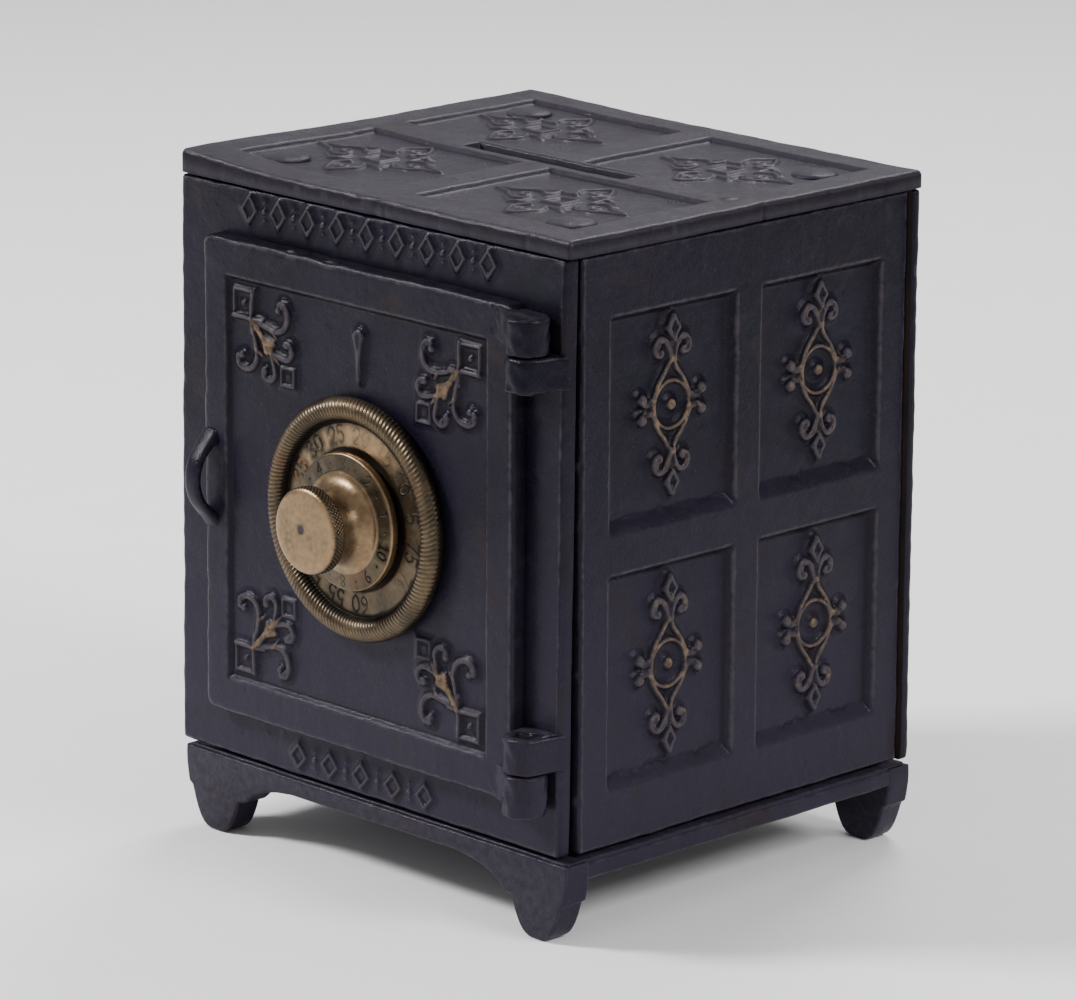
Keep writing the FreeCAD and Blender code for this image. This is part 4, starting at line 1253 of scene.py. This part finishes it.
def turned(name, centre, axis, profile, columns, material, lift, wear):
    """A mesh turned from (radius, height) rows; rows that start off the axis form a closed
    loop and give a bored piece.

    lift is an array that pushes the surface out along its own normals, and wear its edge
    field.  axis is "y" for the dials, whose height runs towards -Y, or "z".
    """
    profile = np.array(profile, float)
    rows = len(profile)
    closed = profile[0, 0] > 1e-6
    if closed:
        tangent = np.roll(profile, -1, axis=0) - np.roll(profile, 1, axis=0)
    else:
        tangent = np.gradient(profile, axis=0)
    tangent /= np.maximum(np.linalg.norm(tangent, axis=1)[:, None], 1e-9)
    normal = np.stack([-tangent[:, 1], tangent[:, 0]], -1)
    if not closed:
        normal[0] = (0, normal[1, 1] / max(abs(normal[1, 1]), 1e-9))
        normal[-1] = (0, 0)
    angles = np.linspace(0, 2 * math.pi, columns, endpoint=False)
    radius = profile[:, :1] + lift * normal[:, :1]
    height = profile[:, 1:] + lift * normal[:, 1:]
    across, up = radius * np.cos(angles), radius * np.sin(angles)
    if axis == "y":
        points = np.stack([centre[0] + across, centre[1] - height, centre[2] + up], -1)
    else:
        points = np.stack([centre[0] + across, centre[1] + up, centre[2] + height], -1)
    wear = np.clip(wear, 0, 1)
    if closed:
        piece = loft(name, points, [material], closed_path=True, fields={"edge": wear.ravel()})
    else:
        first, last = points[0, 0], points[-1, 0]
        vertices = np.vstack([first, points[1:-1].reshape(-1, 3), last])
        values = np.concatenate([wear[0, :1], wear[1:-1].ravel(), wear[-1, :1]])
        faces = []
        end = len(vertices) - 1
        for column in range(columns):
            step = (column + 1) % columns
            faces.append((0, 1 + column, 1 + step))
            for row in range(rows - 3):
                base = 1 + row * columns
                faces.append((base + column, base + columns + column,
                              base + columns + step, base + step))
            base = 1 + (rows - 3) * columns
            faces.append((base + column, end, base + step))
        piece = mesh_object(name, vertices, faces, [material], fields={"edge": values})
    return fix_normals(piece)


def blank_fields(profile, columns):
    """A profile's radii and heights, the angles around it, and its bare lift and wear."""
    radii, heights = np.array(profile).T.copy()
    angles = np.linspace(0, 2 * math.pi, columns, endpoint=False)
    shape = (len(profile), columns)
    return radii, heights, angles, np.zeros(shape), np.full(shape, NEUTRAL)


DIGITS = {
    "0": [[(0.3, 1), (0.05, 0.75), (0.05, 0.25), (0.3, 0), (0.55, 0.25), (0.55, 0.75),
           (0.3, 1)]],
    "1": [[(0.1, 0.8), (0.3, 1), (0.3, 0)], [(0.1, 0), (0.5, 0)]],
    "2": [[(0.05, 0.78), (0.3, 1), (0.55, 0.75), (0.4, 0.4), (0.05, 0)], [(0.05, 0), (0.55, 0)]],
    "3": [[(0.05, 0.85), (0.35, 1), (0.5, 0.76), (0.25, 0.53), (0.55, 0.28), (0.3, 0),
           (0.05, 0.14)]],
    "4": [[(0.42, 0), (0.42, 1), (0.0, 0.3), (0.6, 0.3)]],
    "5": [[(0.5, 1), (0.12, 1), (0.08, 0.56)],
          [(0.08, 0.56), (0.35, 0.64), (0.55, 0.32), (0.3, 0), (0.05, 0.12)]],
    "6": [[(0.48, 0.98), (0.15, 0.7), (0.05, 0.3), (0.3, 0), (0.55, 0.28), (0.3, 0.54),
           (0.07, 0.34)]],
    "7": [[(0.05, 1), (0.55, 1)], [(0.55, 1), (0.3, 0.5), (0.2, 0)]],
    "8": [[(0.3, 0.53), (0.08, 0.77), (0.3, 1), (0.52, 0.77), (0.3, 0.53), (0.04, 0.25),
           (0.3, 0), (0.56, 0.25), (0.3, 0.53)]],
    "9": [[(0.53, 0.66), (0.3, 0.46), (0.05, 0.72), (0.3, 1), (0.55, 0.7), (0.45, 0.3),
           (0.12, 0.02)]],
}
STRAIGHT = "147"


def number_ring(radii, columns, middle, labels, size, half, height, ticks):
    """Numbers that read from the dial's centre outwards, over the rows at some radii."""
    turn = 2 * math.pi * middle
    order = np.argsort(radii)
    relief = Relief(np.linspace(0, turn, columns, endpoint=False), radii[order])
    for index, label in enumerate(labels):
        share = (index + 0.5) / len(labels)
        advance = size * 0.78
        start = share * turn + advance * len(label) / 2 - 0.12 * size
        for place, digit in enumerate(label):
            for line in DIGITS[digit]:
                points = [(start - place * advance - size * a,
                           middle + size * (b - 0.5)) for a, b in line]
                straight = digit in STRAIGHT or len(line) == 2
                for part in zip(points, points[1:]) if straight else [points]:
                    relief.stroke(part, half, height, 0, 0.4)
        if ticks:
            relief.dot(((index + 1) / len(labels) * turn % turn, middle), half * 1.5,
                       height, 0, 0.4)
    return relief.height[np.argsort(order)]


def rows_between(*corners):
    """Rows of (radius, height) along straight runs given as (radius, height, row count)."""
    rows = []
    for (r0, h0, count), (r1, h1, _) in zip(corners, corners[1:]):
        for t in np.linspace(0, 1, count, endpoint=False):
            rows.append((r0 + (r1 - r0) * t, h0 + (h1 - h0) * t))
    rows.append(corners[-1][:2])
    return rows


def rim_curve(centre, half, low, rise, start, stop, count):
    """Rows over a rim's rounded crest, from angle start to stop in degrees."""
    return [(centre + half * math.cos(a), low + rise * math.sin(a))
            for a in np.radians(np.linspace(start, stop, count))]


def make_outer_dial():
    """Brass ring dial: rope-fluted rim, dark groove, and a face with sunk numbers."""
    outer, bore, back = DIAL_HIGH[0] - 0.2, 5.1, 55.6
    rim_half, rim_foot, rim_rise = 2.65, 57.2, 2.6
    flutes, slant = 155, 2.9
    columns = flutes * 7
    profile = rows_between((bore, back, 1), (outer - 1.6, back, 2), (outer - 0.4, 56.1, 2),
                           (outer, 56.9, 1))[:-1]
    rim_start = len(profile)
    profile += rim_curve(outer - rim_half, rim_half, rim_foot, rim_rise, 0, 168, 21)
    rim_stop = len(profile)
    face = slice(rim_stop + 1, rim_stop + 28)
    profile += rows_between((21.35, 57.0, 1), (21.0, 57.35, 26), (15.8, 57.5, 2),
                            (15.2, 57.3, 3), (bore, 57.3, 1))
    profile += rows_between((bore, 57.0, 1), (bore, 56.3, 1))
    radii, heights, angles, lift, wear = blank_fields(profile, columns)
    # slanting flutes over the rim's crest, worn on one side
    run = np.concatenate([[0], np.cumsum(np.hypot(np.diff(radii), np.diff(heights)))])
    phase = flutes * angles[None, :] + 2 * math.pi * run[:, None] / slant
    ridge = np.abs(np.sin(phase / 2)) ** 0.75
    over = np.zeros(len(profile))
    over[rim_start:rim_stop] = np.sin(np.linspace(0.25, math.pi - 0.3, rim_stop - rim_start))
    worn = 1 - 0.35 * smooth(np.sin(angles + 2.2) * 0.9)
    lift += 0.3 * (ridge - 0.8) * over[:, None] ** 0.5 * worn[None, :]
    wear += over[:, None] * ((ridge - 0.6) * 0.5 - 0.02)
    # numbers, fainter on three sides
    labels = [str(value) for value in range(5, 80, 5)]
    digits = number_ring(radii[face], columns, 18.45, labels, 3.5, 0.24, 0.42, False)
    digits = digits * (0.55 + 0.45 * np.sin(angles * 3 + 1))
    lift[face] -= 0.75 * digits
    wear[face] += 0.02 - digits * 1.3
    # grime and painted shade in the groove inside the rim and beside the inner dial, and a rubbed
    # side
    groove = np.exp(-((radii - 21.3) / 0.75) ** 2)
    groove[:rim_start] = 0
    wear -= groove[:, None] * 0.6
    wear -= (np.exp(-((radii - 15.4) / 0.6) ** 2) * 0.3)[:, None]
    rubbed = smooth(np.cos(angles - 1.75) * 1.3 - 0.2) * 0.26
    wear[face] += rubbed[None, :]
    piece = turned("outer_dial_ring", (0, MID_Y, DIAL_Z), "y", profile, columns, BRASS, lift,
                   wear)
    stand_for(piece, "outer_dial", "outer_dial")


def make_dial_knob():
    """Brass knob: numbered disc, concave neck, and a diamond-knurled head."""
    columns, knurls, knurl_pitch = 640, 64, 0.5
    radius, head, neck, bore, back = 15.0, 9.4, 7.35, 1.72, 58.4
    profile = [(0.0, 72.12)] + [(step, 72.1) for step in np.linspace(0.3, 3.0, 10)]
    profile += [(4.5, 72.05), (7.0, 71.98), (8.5, 71.9), (9.05, 71.7)]
    knurl_start = len(profile)
    profile += rows_between((head, 71.2, 30), (head, 68.9, 1))
    knurl_stop = len(profile)
    profile += [(9.0, 68.6), (8.2, 68.35), (7.55, 68.1), (neck, 67.6), (neck, 67.1)]
    profile += [(neck + 3.7 * (1 - math.cos(t)), 67.0 - 5.9 * math.sin(t) ** 0.9)
                for t in np.linspace(0.15, math.pi / 2, 10)]
    face_start = len(profile)
    profile += rows_between((11.3, 60.95, 24), (14.5, 60.6, 1))
    face_stop = len(profile)
    profile += [(14.85, 60.45), (radius, 60.15), (radius, 59.0), (14.8, 58.55), (14.4, back),
                (6.0, back), (bore, back), (bore, 64.0), (bore, 71.0), (0.0, 71.0)]
    radii, heights, angles, lift, wear = blank_fields(profile, columns)
    band, face = slice(knurl_start, knurl_stop), slice(face_start, face_stop)
    slope = heights[band][:, None] * math.pi / knurl_pitch
    diamond = np.cos(knurls * angles[None, :]) * np.cos(slope)
    fade = np.sin(np.linspace(0.2, math.pi - 0.2, knurl_stop - knurl_start))[:, None] ** 0.5
    lift[band] += 0.13 * diamond * fade
    wear[band] += 0.3 * diamond * fade
    labels = [str(value) for value in range(1, 11)]
    digits = number_ring(radii[face], columns, 12.9, labels, 2.5, 0.2, 0.38, True)
    digits = digits * (0.7 + 0.3 * np.sin(angles * 2 + 2))
    lift[face] -= 0.7 * digits
    wear[face] -= digits * 1.3
    # handled places: the disc's rim, the head's edge and face, and the neck, whose brightening is
    # partly a painted highlight
    wear[face_stop:face_stop + 4] += 0.3
    wear[knurl_start - 2:knurl_start] += 0.3
    wear[:knurl_start - 2] += 0.24
    # painted highlight and handling wear: the neck brightened all round
    wear[knurl_stop + 1:face_start] += 0.24
    # the spindle's riveted end, a punch mark a little off the middle of the head
    punch = np.hypot(radii[:, None] * np.cos(angles) + 0.8, radii[:, None] * np.sin(angles) - 0.4)
    dent = np.exp(-(punch / 0.75) ** 2)
    dent[knurl_start:] = 0
    lift -= 0.3 * dent
    wear -= 0.75 * dent
    piece = turned("dial_knob_turned", (0, MID_Y, DIAL_Z), "y", profile, columns, BRASS, lift,
                   wear)
    stand_for(piece, "inner_dial", "dial_knob")


def make_tie_rods():
    """Each rod with a hand-formed round head, a little out of true."""
    shank, end, columns = 2.0, 1.5, 72
    for index, label in enumerate(sorted(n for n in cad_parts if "tie_rod" in n)):
        low, high = span(label)
        centre = ((low[0] + high[0]) / 2, (low[1] + high[1]) / 2, 0)
        top = high[2] + (0.5 if low[0] > 0 else 1.0)
        head = (high[0] - low[0]) / 2
        head_rows = [(0.0, top), (1.3, top - 0.02), (2.6, top - 0.12), (3.8, top - 0.3),
                     (4.6, top - 0.48), (head - 0.2, top - 0.72), (head, top - 0.95),
                     (head - 0.1, top - 1.25)]
        profile = head_rows + [(shank, top - 1.25), (shank, top - 70.0), (shank, low[2] + 0.5),
                               (end, low[2] + 0.05), (0.0, low[2])]
        radii, _, angles, lift, wear = blank_fields(profile, columns)
        on_head = np.arange(len(profile))[:, None] < len(head_rows)
        sway = 0.16 * np.sin(2 * angles + index) + 0.09 * np.sin(5 * angles + 2 * index)
        lift += on_head * (radii[:, None] / head) ** 2 * sway
        wear[3:7] += 0.2
        piece = turned(label + "_headed", centre, "z", profile, columns, IRON, lift, wear)
        stand_for(piece, "case", label)


make_sides()
make_top()
make_front_frame()
make_door()
make_base()
make_outer_dial()
make_dial_knob()
make_tie_rods()

for label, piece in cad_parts.items():
    if not piece.hide_render:
        piece.data.materials.clear()
        piece.data.materials.append(STEEL)


# ---------------------------------------------------------------- floor, lights, camera

def make_floor():
    """A plain pale floor, 6 m square."""
    mesh = bpy.data.meshes.new("floor")
    reach = 3.0
    mesh.from_pydata([(-reach, -reach, 0), (reach, -reach, 0), (reach, reach, 0),
                      (-reach, reach, 0)], [], [(0, 1, 2, 3)])
    floor = bpy.data.objects.new("floor", mesh)
    floor.data.materials.append(floor_paper())
    bpy.context.scene.collection.objects.link(floor)


def soft_light(name, place, target, size, power):
    """A square softbox, size in metres and power in watts."""
    data = bpy.data.lights.new(name, "AREA")
    data.shape = "SQUARE"
    data.size = size
    data.energy = power
    lamp = bpy.data.objects.new(name, data)
    lamp.location = place
    lamp.rotation_euler = (Vector(target) - Vector(place)).to_track_quat("-Z", "Y").to_euler()
    bpy.context.scene.collection.objects.link(lamp)


def make_lights():
    world = bpy.data.worlds.new("studio")
    world.use_nodes = True
    background = world.node_tree.nodes["Background"]
    fill(background, {"Color": (1, 1, 1, 1), "Strength": 0.5})
    bpy.context.scene.world = world
    centre = (0, 0, 0.08)
    soft_light("left_softbox", (-0.75, -0.75, 0.95), centre, 0.28, 25)
    soft_light("right_softbox", (1.05, 0.15, 0.8), centre, 0.4, 12)
    soft_light("top_softbox", (-0.35, 0.75, 1.0), centre, 0.5, 9)


def make_camera():
    """Seen from the front right and above, with a long lens."""
    azimuth = math.radians(45.59)
    elevation = math.radians(14.91)
    roll = math.radians(0.35)
    distance = 1300.9 * MM
    target = Vector((-2.97, MID_Y, 75.82)) * MM
    away = Vector((math.sin(azimuth) * math.cos(elevation),
                   -math.cos(azimuth) * math.cos(elevation), math.sin(elevation)))
    right = Vector((math.cos(azimuth), math.sin(azimuth), 0))
    up = away.cross(right)
    tilted_right = right * math.cos(roll) + up * math.sin(roll)
    tilted_up = up * math.cos(roll) - right * math.sin(roll)
    data = bpy.data.cameras.new("camera")
    data.sensor_width = 36.0
    data.lens = 198.14
    data.clip_start = 0.05
    data.clip_end = 20.0
    camera = bpy.data.objects.new("camera", data)
    turn = Matrix((tilted_right, tilted_up, away)).transposed().to_4x4()
    camera.matrix_world = Matrix.Translation(target + away * distance) @ turn
    bpy.context.scene.collection.objects.link(camera)
    bpy.context.scene.camera = camera


make_floor()
make_lights()
make_camera()
